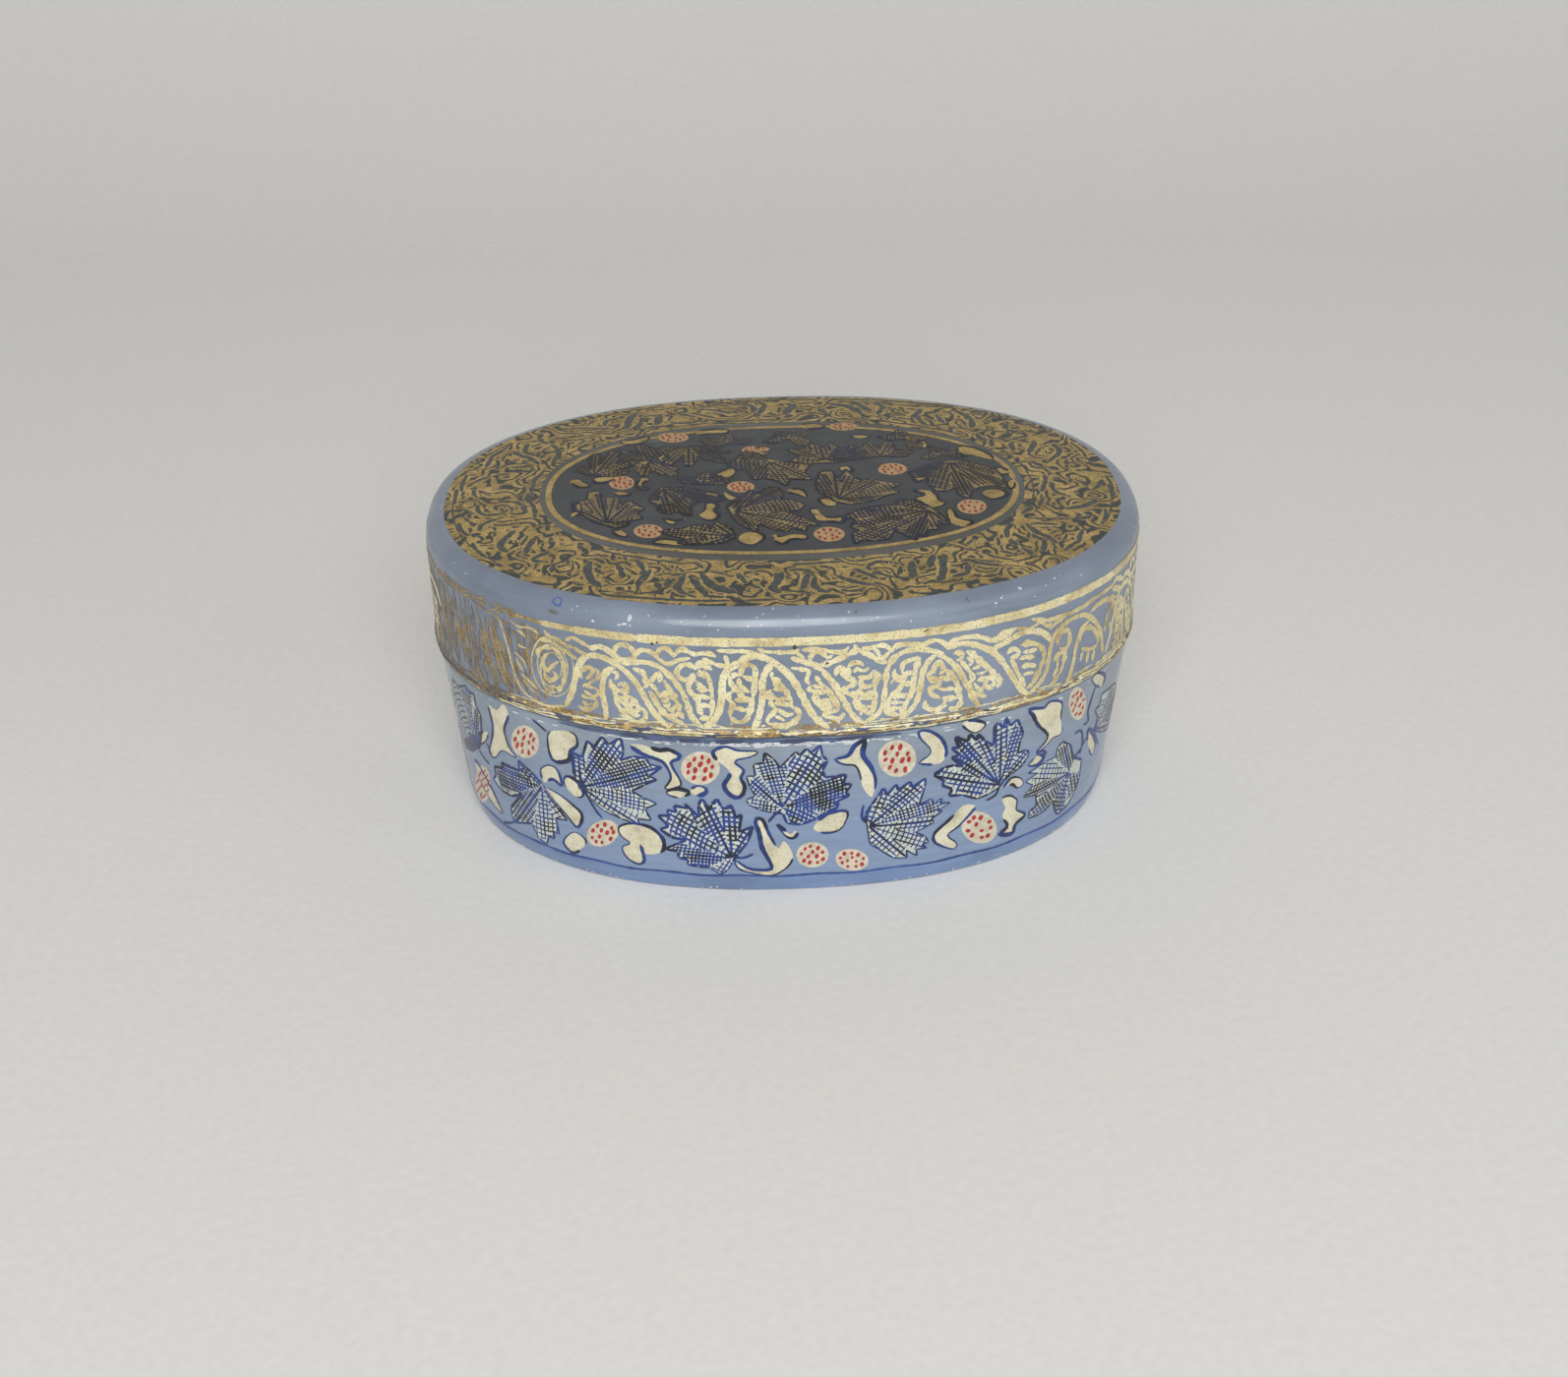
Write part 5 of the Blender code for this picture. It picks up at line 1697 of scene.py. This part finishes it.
def paint_ring(work):
    """The ring's pattern: gaps with gold edges, small touches, and broken lines of ground at both borders."""
    chance = work.random
    for width, *points in RING_GAPS:
        for spots in repeated([points], RING_BLOCK, RING_BACK, 1):
            path = [ring_spot(*spot) for spot in spots]
            share = GAP_WIDENING * chance.uniform(0.9, 1.1)
            work.stroke("gold", path, width * share + GAP_EDGE, step=0.36, shake=0.2)
            work.stroke("bare", path, width * share, lift=0.065, step=0.36, shake=0.25)
    for i in range(RING_TOUCHES):
        run = -ROUND / 2 + ROUND * (i + chance.random()) / RING_TOUCHES
        share = chance.uniform(0.1, 0.9)
        away, out = chance.uniform(0.2, 1.0), chance.uniform(-0.1, 0.1)
        ends = [ring_spot(run, share), ring_spot(run + away, share + out)]
        paint, lift = ("bare", 0.06) if chance.random() < 0.6 else ("gold", 0.07)
        work.stroke(paint, ends, chance.uniform(0.12, 0.3), lift, step=0.3, shake=0.5)
    for share, width, skipped in RING_BORDERS:
        run = RING_BACK[0] - 20
        while run < RING_BACK[1] + 20:
            length = chance.uniform(4, 14)
            if chance.random() > skipped:
                line = [ring_spot(run + length * i / 12, share) for i in range(13)]
                work.stroke("bare", line, width * chance.uniform(0.7, 1.2), lift=0.06, step=0.6, shake=0.5)
            run += length


# Wear

# Chips and spots on the lid's shoulder: pixel, long and short half size in mm, turn in degrees, paint
SHOULDER_SPOTS = (
    ((640, 628), 0.4, 0.3, 70, "scuff_and_glint"),
    ((635, 634), 0.45, 0.16, 10, "scuff_and_glint"),
    ((630, 635), 0.3, 0.12, 0, "scuff_and_glint"),
    ((603, 631), 0.2, 0.16, 0, "scuff_and_glint"),
    ((1036, 598), 0.2, 0.16, 0, "scuff_and_glint"),
    ((1012, 613), 0.2, 0.14, 0, "scuff_and_glint"),
    ((567, 612), 0.85, 0.5, 0, "blue_spot"),
    ((563, 622), 0.8, 0.3, 0, "stain"),
    ((980, 606), 0.9, 0.13, -60, "stain"),
    ((870, 622), 0.3, 0.12, 30, "stain"),
    ((808, 658), 0.42, 0.26, 80, "pit"),
    ((663, 654), 0.22, 0.2, 0, "pit"),
    ((668, 653), 0.14, 0.14, 0, "pit"),
    ((841, 674), 0.2, 0.18, 0, "pit"),
    ((942, 641), 0.4, 0.12, 20, "pit"),
)

# The same on the lid's top
TOP_SPOTS = (
    ((780, 576), 0.5, 0.35, 0, "pit"),
    ((777, 592), 0.35, 0.6, 0, "pit"),
    ((782, 572), 0.3, 0.25, 0, "pit"),
    ((822, 606), 0.3, 0.2, 0, "pit"),
    ((467, 516), 0.55, 0.9, 0, "stain"),
    ((520, 470), 0.4, 0.3, 0, "pit"),
    ((1092, 470), 0.35, 0.25, 0, "pit"),
)

# Small pale marks: scuffs on the shoulder, and along the body's rim painted glints of its highlight: how
# many, how high they lie, and how far from there they scatter
SHOULDER_SCUFFS = (46, 43.6, 0.45)
RIM_GLINTS = (220, 25.35, 0.16)
FOOT_SCUFFS = 60


def scuff_and_glint_run(work, middle, scatter, share):
    """A run near a middle, or for this share of the scuffs and glints anywhere round the box."""
    run = work.random.gauss(middle, scatter)
    return work.random.uniform(-ROUND / 2, ROUND / 2) if work.random.random() < share else run


def paint_wear(side, top, body):
    """Chips, spots and stains, pale scuffs on the shoulder and the foot, and painted highlight glints along
    the body's rim.
    """
    for pixel, long, short, degrees, paint in SHOULDER_SPOTS:
        side.patch(paint, ragged_spot(side, pick_lid_side(pixel), long, short, degrees), lift=0.08)
    for pixel, long, short, degrees, paint in TOP_SPOTS:
        top.patch(paint, ragged_spot(top, pick_top(pixel), long, short, degrees), lift=0.09)
    count, middle, scatter = SHOULDER_SCUFFS
    for _ in range(count):
        run = scuff_and_glint_run(side, 0, 26, 0.35)
        long = side.random.uniform(0.06, 0.16)
        height = middle + side.random.gauss(0, scatter)
        side.patch("scuff_and_glint", ragged_spot(side, (run, height), long, long * 0.6), lift=0.06)
    # Painted highlight: pale glints along the body's rim, most of them near the front
    count, middle, scatter = RIM_GLINTS
    for _ in range(count):
        run = scuff_and_glint_run(body, -3, 10, 0.45)
        height = middle + body.random.gauss(0, scatter)
        long, short = body.random.uniform(0.1, 0.75), body.random.uniform(0.06, 0.15)
        body.patch("scuff_and_glint", ragged_spot(body, (run, height), long, short), lift=0.05)
    for _ in range(FOOT_SCUFFS):
        run = body.random.uniform(-ROUND / 2, ROUND / 2)
        long, height = body.random.uniform(0.1, 0.5), body.random.uniform(0.25, 0.7)
        body.patch("scuff_and_glint", ragged_spot(body, (run, height), long, 0.12), lift=0.05)


def ragged_spot(work, centre, long, short, degrees=0.0):
    """An uneven small outline."""
    rough = []
    for u, v in ellipse(centre, long, short, degrees, 9):
        swell = work.random.uniform(0.7, 1.25)
        rough.append((centre[0] + (u - centre[0]) * swell, centre[1] + (v - centre[1]) * swell))
    return rough


# The box under the paint

SHARP_DEGREES = 50  # edges that turn more than this are shaded sharp

# Lid: rows of its hollow, of its lip and of its top, as heights or as shares of the way out on the top
HOLLOW_SHARES = (0.02, 0.5, 0.9)
HOLLOW_CEILING = (42.0, 41.4)
HOLLOW_CHAMFER = 0.3
LIP_FOOT = 0.1  # how far the lip's foot is drawn in
LIP_ROWS = (0.08, 0.25, 0.5, 0.75, 0.98)
LIP_RUB = 0.12  # most that it is rubbed down
LID_SIDE_STEPS = 14
SHOULDER_STEPS = 12
DOME_SHARES = (1.0, 0.985, 0.96, 0.92, 0.88, 0.83, 0.77, 0.7, 0.6, 0.5, 0.4, 0.3, 0.2, 0.1, 0.02)
BAND_STEPS = 8

# Body: rows of its underside, as insets from its foot, and of its side, as heights
UNDERSIDE_INSETS = (30, 12, 0.5)
FOOT_ROWS = (0.12, 0.4, 0.9, 1.5, 2.1, 2.75)
GROOVE, GROOVE_DEPTH = 2.86, 0.05  # between base board and wall
WALL_FOOT = 3.0
WALL_START = 3.3
WALL_STEPS = 20
RIM_ROUND = 0.35
RIM_STRAIGHT = 0.4  # how far under the rim the wall's straight part ends

# Inside of the body: rounded where the wall meets the floor, and closed near the middle
FLOOR_ROUND = 0.6
FLOOR_DIPS = (0.1, 0.15)
FLOOR_INSET = 34


def loft(name, rows, finishes, finish_of_row, body, nodes=(), close=True):
    """Joins closed rows of points into one surface. close=False leaves the first and last row open."""
    mesh = bmesh.new()
    made = [[mesh.verts.new(point * MM) for point in row] for row in rows]
    count = len(made[0])
    for i, (lower, upper) in enumerate(zip(made, made[1:])):
        for j in range(count):
            k = (j + 1) % count
            face = mesh.faces.new((lower[j], lower[k], upper[k], upper[j]))
            face.material_index = finish_of_row(i)
    if close:
        for row, i in ((made[0], 0), (made[-1], len(made) - 2)):
            face = mesh.faces.new(row)
            face.material_index = finish_of_row(i)
    bmesh.ops.recalc_face_normals(mesh, faces=mesh.faces)
    data = bpy.data.meshes.new(name)
    mesh.to_mesh(data)
    mesh.free()
    data.shade_smooth()
    data.set_sharp_from_angle(angle=math.radians(SHARP_DEGREES))
    for finish in finishes:
        data.materials.append(finish)
    piece = add_object(name, data)
    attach(piece, body)
    if nodes:
        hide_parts(*nodes)


def row_runs():
    """Lengths run round the box at the points of a row."""
    return [ROUND * i / ROUND_COUNT for i in range(ROUND_COUNT)]


def level_row(inset, height):
    """A level row at an inset, with no unevenness: for the inside, the underside and the lid's edge."""
    return [Vector((*oval(turn_at(run), inset), height)) for run in row_runs()]


def side_row(surface, height, lift=0.0):
    """A level row on a side of the box."""
    return [surface(run, height, lift) for run in row_runs()]


def dome_row(share):
    """A row of the lid's domed top."""
    outer = [oval(turn_at(run), LID_INSET + SHOULDER) for run in row_runs()]
    return [on_lid_top(x * share, y * share) for x, y in outer]


def hollow_row(share):
    """A row of the domed underside of the lid's board."""
    outer = [oval(turn_at(run), LID_INSET + SHOULDER) for run in row_runs()]
    return [Vector((x * share, y * share, dome_height(x * share, y * share) - BOARD)) for x, y in outer]


def lip_row(height):
    """A row of the lid's lip, which is rubbed down here and there."""
    row = []
    for run in row_runs():
        rub = LIP_RUB * max(0.0, wander(run, 0.35, height * 0.5, 20) - 0.05)
        row.append(on_lid_side(run, height, -rub))
    return row


def steps(start, end, count):
    """Evenly spaced values from start to end, both included."""
    return [start + (end - start) * i / count for i in range(count + 1)]


def lid_shell(side, top, hollow, lip):
    """The lid: the black hollow underneath, then lip, upright side, round shoulder and domed top."""
    rows = [hollow_row(share) for share in HOLLOW_SHARES]
    rows += [level_row(LID_INNER, height) for height in (*HOLLOW_CEILING, LID_EDGE + HOLLOW_CHAMFER)]
    rows.append(level_row(LID_INNER - HOLLOW_CHAMFER, LID_EDGE))
    lip_start = len(rows)
    rows.append(level_row(LID_INSET + LIP_FOOT, LID_EDGE))
    rows += [lip_row(LID_EDGE + height) for height in LIP_ROWS]
    lip_end = len(rows)
    side_heights = steps(LID_EDGE + LIP_HEIGHT, DOME_EDGE - SHOULDER, LID_SIDE_STEPS)
    rows += [side_row(on_lid_side, height) for height in side_heights]
    for degrees in steps(0, 90, SHOULDER_STEPS)[1:-1]:
        rise = SHOULDER * math.sin(math.radians(degrees))
        rows.append(side_row(on_lid_side, DOME_EDGE - SHOULDER + rise))
    top_start = len(rows)
    rows += [dome_row(share) for share in DOME_SHARES]

    def finish_of_row(i):
        if i < lip_start:
            return 2
        if i < lip_end:
            return 3
        return 0 if i <= top_start else 1

    nodes = ("lid_skirt", "lid_top_panel")
    loft("lid_shell", rows, [side, top, hollow, lip], finish_of_row, "lid", nodes)


def body_shell(side, foot, hollow):
    """The body: underside, foot, tapered wall with a soft rim, and the black inside."""
    rows = [level_row(body_inset(0) + inset, 0.0) for inset in UNDERSIDE_INSETS]
    foot_start = len(rows)
    rows += [side_row(on_body, height) for height in FOOT_ROWS]
    rows.append(side_row(on_body, GROOVE, -GROOVE_DEPTH))
    foot_end = len(rows)
    rows.append(side_row(on_body, WALL_FOOT))
    rows += [side_row(on_body, height) for height in steps(WALL_START, RIM - RIM_STRAIGHT, WALL_STEPS)]
    for degrees in (30, 60, 90):
        round_in = RIM_ROUND * (1 - math.cos(math.radians(degrees)))
        height = RIM - RIM_ROUND + RIM_ROUND * math.sin(math.radians(degrees))
        rows.append(side_row(on_body, height, -round_in))
    side_end = len(rows)
    lean = body_inset(COLLAR_FOOT) - body_inset(RIM)
    floor_inset = body_inset(FLOOR_TOP) + WALL
    rows.append(level_row(RIM_INSET + WALL, RIM))
    rows.append(level_row(RIM_INSET + WALL + lean, COLLAR_FOOT))
    rows.append(level_row(floor_inset, FLOOR_TOP + FLOOR_ROUND))
    rows.append(level_row(floor_inset + FLOOR_ROUND, FLOOR_TOP - FLOOR_DIPS[0]))
    rows.append(level_row(body_inset(FLOOR_TOP) + FLOOR_INSET, FLOOR_TOP - FLOOR_DIPS[1]))

    def finish_of_row(i):
        if i < foot_start or i >= side_end:
            return 1
        return 2 if i < foot_end else 0

    nodes = ("body_wall", "base_panel")
    loft("body_shell", rows, [side, hollow, foot], finish_of_row, "base", nodes)


def dome_band(name, outer, inner, lift, finish):
    """A thin oval band laid on the lid's top between two sizes, each a half length and a half width."""
    rows = []
    for i in range(BAND_STEPS + 1):
        sizes = [a + (b - a) * (i / BAND_STEPS) for a, b in zip(outer, inner)]
        height = lift - (EDGE_DROP if i in (0, BAND_STEPS) else 0)
        rows.append([on_lid_top(x, y, height) for x, y in oval_line(*sizes, ROUND_COUNT)[:-1]])
    loft(name, rows, [finish], lambda i: 0, "lid", close=False)


# Stage

# Pale background, as the camera and reflections see it, and the world's light on the object
BACKGROUND = (1.0, 0.98, 0.95, 1)
SEEN_LEVEL = 0.6
WORLD_LIGHT = 0.16
FLOOR_FADE = (0.35, 1.0)  # metres from the box over which the floor passes into the background

# Floor, which bends up into a backdrop
FLOOR_FRONT, FLOOR_BACK = -1500, 250
FLOOR_HALF_WIDTH = 1800
BEND = 300
BACKDROP_TOP = 1600
FLOOR_COLOURS = ((240, 240, 238), (246, 246, 244))

# Lamps: place and breadth in mm, watts, and colour. Both point at the middle of the box.
LAMPS = (
    ("key", Vector((-30, -960, 630)), 840, 10.2, (1.0, 0.985, 0.96)),
    ("fill", Vector((620, -420, 520)), 420, 0.4, (0.95, 0.97, 1.0)),
)
LAMP_TARGET = Vector((0, 0, 20))


def seen(tree):
    """1 for rays from the camera, from gloss and through clear material, and 0 for the rest."""
    path = tree.nodes.new("ShaderNodeLightPath")
    total = path.outputs["Is Camera Ray"]
    for kind in ("Is Glossy Ray", "Is Transmission Ray"):
        either = tree.nodes.new("ShaderNodeMath")
        either.operation = "MAXIMUM"
        tree.links.new(total, either.inputs[0])
        tree.links.new(path.outputs[kind], either.inputs[1])
        total = either.outputs["Value"]
    return total


def fade_floor(tree):
    """Passes the floor into the pale background away from the box, so that no far edge shows."""
    away = tree.nodes.new("ShaderNodeVectorMath")
    away.operation = "LENGTH"
    tree.links.new(tree.nodes.new("ShaderNodeTexCoord").outputs["Object"], away.inputs[0])
    far = tree.nodes.new("ShaderNodeMapRange")
    far.interpolation_type = "SMOOTHSTEP"
    far.inputs["From Min"].default_value, far.inputs["From Max"].default_value = FLOOR_FADE
    tree.links.new(away.outputs["Value"], far.inputs["Value"])
    share = tree.nodes.new("ShaderNodeMath")
    share.operation = "MULTIPLY"
    tree.links.new(far.outputs["Result"], share.inputs[0])
    tree.links.new(seen(tree), share.inputs[1])
    glow = tree.nodes.new("ShaderNodeEmission")
    glow.inputs["Color"].default_value = BACKGROUND
    glow.inputs["Strength"].default_value = SEEN_LEVEL
    both = tree.nodes.new("ShaderNodeMixShader")
    tree.links.new(share.outputs["Value"], both.inputs[0])
    tree.links.new(tree.nodes["Principled BSDF"].outputs["BSDF"], both.inputs[1])
    tree.links.new(glow.outputs["Emission"], both.inputs[2])
    tree.links.new(both.outputs["Shader"], tree.nodes["Material Output"].inputs["Surface"])


def add_floor():
    """Pale floor that bends up into a backdrop."""
    made = Finish("floor", roughness=0.9, specular=0.0)
    dark, light = (srgb(colour) for colour in FLOOR_COLOURS)
    made.join(made.ramp(made.noise(1.2, 4), [(0.3, dark), (0.7, light)]), "Base Color")
    fade_floor(made.material.node_tree)
    profile = [(FLOOR_FRONT, 0), (FLOOR_BACK, 0)]
    for degrees in range(6, 91, 6):
        turn = math.radians(degrees)
        profile.append((FLOOR_BACK + BEND * math.sin(turn), BEND - BEND * math.cos(turn)))
    profile.append((FLOOR_BACK + BEND, BACKDROP_TOP))
    mesh = bmesh.new()
    rows = []
    for y, z in profile:
        rows.append([mesh.verts.new(Vector((x, y, z)) * MM) for x in (-FLOOR_HALF_WIDTH, FLOOR_HALF_WIDTH)])
    for lower, upper in zip(rows, rows[1:]):
        mesh.faces.new((lower[0], lower[1], upper[1], upper[0]))
    data = bpy.data.meshes.new("studio_floor")
    mesh.to_mesh(data)
    mesh.free()
    data.shade_smooth()
    data.materials.append(made.material)
    add_object("studio_floor", data)


def add_world():
    """Even, weak light from all sides, and a pale background for what the camera sees."""
    world = bpy.data.worlds.new("world")
    world.use_nodes = True
    tree = world.node_tree
    sky = tree.nodes["Background"]
    sky.inputs["Color"].default_value = BACKGROUND
    strength = tree.nodes.new("ShaderNodeMapRange")
    strength.inputs["To Min"].default_value = WORLD_LIGHT
    strength.inputs["To Max"].default_value = SEEN_LEVEL
    tree.links.new(seen(tree), strength.inputs["Value"])
    tree.links.new(strength.outputs["Result"], sky.inputs["Strength"])
    bpy.context.scene.world = world


def add_lamp(name, place, size, watts, colour):
    """A round soft lamp that points at the box."""
    data = bpy.data.lights.new(name, "AREA")
    data.shape = "DISK"
    data.size = size * MM
    data.energy = watts
    data.color = colour
    light = add_object(name, data)
    light.location = place * MM
    light.rotation_mode = "QUATERNION"
    light.rotation_quaternion = (LAMP_TARGET - place).to_track_quat("-Z", "Y")


def studio():
    """Pale floor and world, a broad soft lamp near the camera and a weak one at the side."""
    bpy.context.scene.view_settings.view_transform = "Standard"
    add_floor()
    add_world()
    for lamp in LAMPS:
        add_lamp(*lamp)


# All together

# Ground that shows through the gold, on the lid's top and on its side
BARE_TOP = (70, 74, 72)
BARE_SIDE = (134, 144, 156)

# Which finish each paint takes
SIDE_PAINTS = {
    "gold": "gold_side_lit",
    "aged_and_shaded_gold": "gold_aged_and_shaded",
    "old_gold": "gold_old",
    "rubbed_and_shaded": "gold_rubbed_and_shaded",
    "scuff_and_glint": "scuffs_and_glints",
    "chipped_and_glint": "chipped_lip_and_glint",
    "blue_spot": "blue_spot",
    "stain": "grey_stain",
    "pit": "dark_pit",
}
BODY_PAINTS = {
    "gold": "gold_body",
    "silver": "silver_body",
    "cream": "cream_paint",
    "red": "red_paint",
    "ink": "blue_ink",
    "hatch": "fine_ink",
    "line": "blue_line",
    "navy": "navy_band",
    "scuff_and_glint": "scuffs_and_glints",
}
TOP_PAINTS = {
    "gold": "gold_top_shaded",
    "dull_gold": "gold_dull",
    "orange": "orange_paint",
    "red": "red_seeds",
    "black_ink": "black_ink",
    "bare": "bare_ground",
    "pit": "dark_pit",
    "stain": "brown_stain",
}


def make_grounds():
    """The lacquered grounds, and the black paint of the inside."""
    return [
        lacquer("lacquered_lid", (110, 122, 140), (124, 137, 157), (138, 151, 170), (184, 190, 196)),
        lacquer("lacquered_body", (125, 137, 152), (138, 152, 168), (150, 164, 180), (186, 192, 198),
                low=(130, 150, 182)),
        lacquer("lacquered_foot", (102, 125, 162), (114, 140, 180), (126, 152, 192), (172, 184, 202)),
        lacquer("lacquered_lip", (46, 56, 84), (62, 74, 106), (86, 100, 134), (170, 176, 186)),
        lacquer("lacquered_top", (84, 83, 76), (94, 95, 92), (106, 110, 112), (132, 124, 98),
                shine=TOP_SHINE),
        lacquer("lacquered_medallion", (54, 57, 60), (65, 69, 73), (78, 82, 87), (92, 88, 78),
                shine=TOP_SHINE),
        lining("black_paint", (22, 20, 20), (48, 44, 42), (84, 76, 68)),
    ]


def make_golds():
    """The gold and silver paints."""
    return [
        # The gold on the ring and the top is painted browner and darker, mostly as shade, and the side's gold
        # paler, mostly as light: shaded and lit copies of one gold paint
        gilding("gold_ring_shaded", (208, 181, 118), (182, 156, 96), (132, 113, 72), 0.12, BARE_TOP, 0.4,
                scrolls=(4.6, 17, 0.42), shine=TOP_SHINE),
        gilding("gold_top_shaded", (208, 181, 118), (182, 156, 96), (136, 117, 74), 0.12, BARE_TOP, 0.38,
                shine=TOP_SHINE),
        gilding("gold_dull", (176, 154, 104), (148, 131, 88), (108, 96, 67), 0.1, (104, 100, 84), 0.38,
                shine=TOP_SHINE),
        # The side's gold: the lit copy, painted paler as light
        gilding("gold_side_lit", (252, 244, 208), (238, 226, 178), (204, 180, 122), 0.42, BARE_SIDE, 0.4),
        # Darker copy of the side's gold: painted shade away from the front, and aged gold by the worn end
        gilding("gold_aged_and_shaded", (238, 224, 174), (220, 204, 150), (178, 156, 102), 0.4, BARE_SIDE, 0.4),
        gilding("gold_old", (206, 178, 112), (174, 144, 82), (132, 106, 62), 0.35, (96, 84, 66)),
        # Rubbed gold at the worn end, on the lip there also darker as painted shade
        gilding("gold_rubbed_and_shaded", (156, 130, 84), (124, 110, 86), (98, 92, 82), 0.15, (92, 96, 102)),
        gilding("gold_body", (238, 234, 210), (225, 219, 192), (195, 190, 164), 0.2, (184, 186, 174), 0.38),
        gilding("silver_body", (224, 228, 214), (206, 214, 208), (176, 190, 196), 0.2, (160, 176, 190), 0.4),
    ]


def make_colours():
    """The inks, the other colours, and the marks of wear."""
    return [
        ink("blue_ink", (12, 18, 46), (28, 58, 128), 4),
        ink("fine_ink", (12, 18, 46), (36, 64, 138), 3),
        ink("blue_line", (44, 66, 128), (56, 84, 156)),
        ink("navy_band", (58, 68, 100), (82, 98, 134), 3),
        ink("black_ink", (10, 11, 18), (20, 26, 54), shine=TOP_SHINE),
        dab("cream_paint", (190, 182, 160), (220, 212, 192)),
        dab("red_paint", (150, 24, 30), (184, 46, 44)),
        dab("orange_paint", (178, 142, 104), (200, 166, 122), TOP_SHINE),
        dab("red_seeds", (136, 40, 28), (160, 58, 40), TOP_SHINE),
        dab("bare_ground", (64, 67, 63), (82, 87, 85), TOP_SHINE),
        # Pale scuffs, and the painted highlight glints along the body's rim
        dab("scuffs_and_glints", (196, 202, 210), (226, 230, 232)),
        # Pale chips along the lip's worn edge, and its painted highlight
        dab("chipped_lip_and_glint", (150, 148, 142), (196, 194, 186)),
        dab("blue_spot", (70, 92, 150), (88, 110, 168)),
        dab("dark_pit", (48, 34, 24), (74, 54, 36)),
        dab("grey_stain", (96, 98, 90), (112, 114, 102)),
        dab("brown_stain", (104, 62, 26), (126, 86, 40)),
    ]


def main():
    add_camera()
    studio()
    finishes = {made.name: made for made in make_grounds() + make_golds() + make_colours()}

    black = finishes["black_paint"]

    lid_shell(finishes["lacquered_lid"], finishes["lacquered_top"], black, finishes["lacquered_lip"])
    body_shell(finishes["lacquered_body"], finishes["lacquered_foot"], black)
    dark = finishes["lacquered_medallion"]
    dome_band("medallion_ground", MEDALLION_GROUND, MEDALLION_MIDDLE, MEDALLION_LIFT, dark)
    dome_band("ring_gold", *RING_GOLD, RING_LIFT, finishes["gold_ring_shaded"])
    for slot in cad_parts["locating_collar"].material_slots:
        slot.material = black

    body = Painting("body", on_body, "base", "lacquer_ground", SEED)
    paint_body(body)
    side = Painting("lid_side", on_lid_side, "lid", "painted_lid", SEED + 1)
    paint_lid_side(side)
    top = Painting("lid_top", on_lid_top, "lid", "painted_lid", SEED + 2)
    paint_ring(top)
    paint_medallion(top)
    paint_wear(side, top, body)
    body.make_pieces(finishes, BODY_PAINTS)
    side.make_pieces(finishes, SIDE_PAINTS)
    top.make_pieces(finishes, TOP_PAINTS)


main()
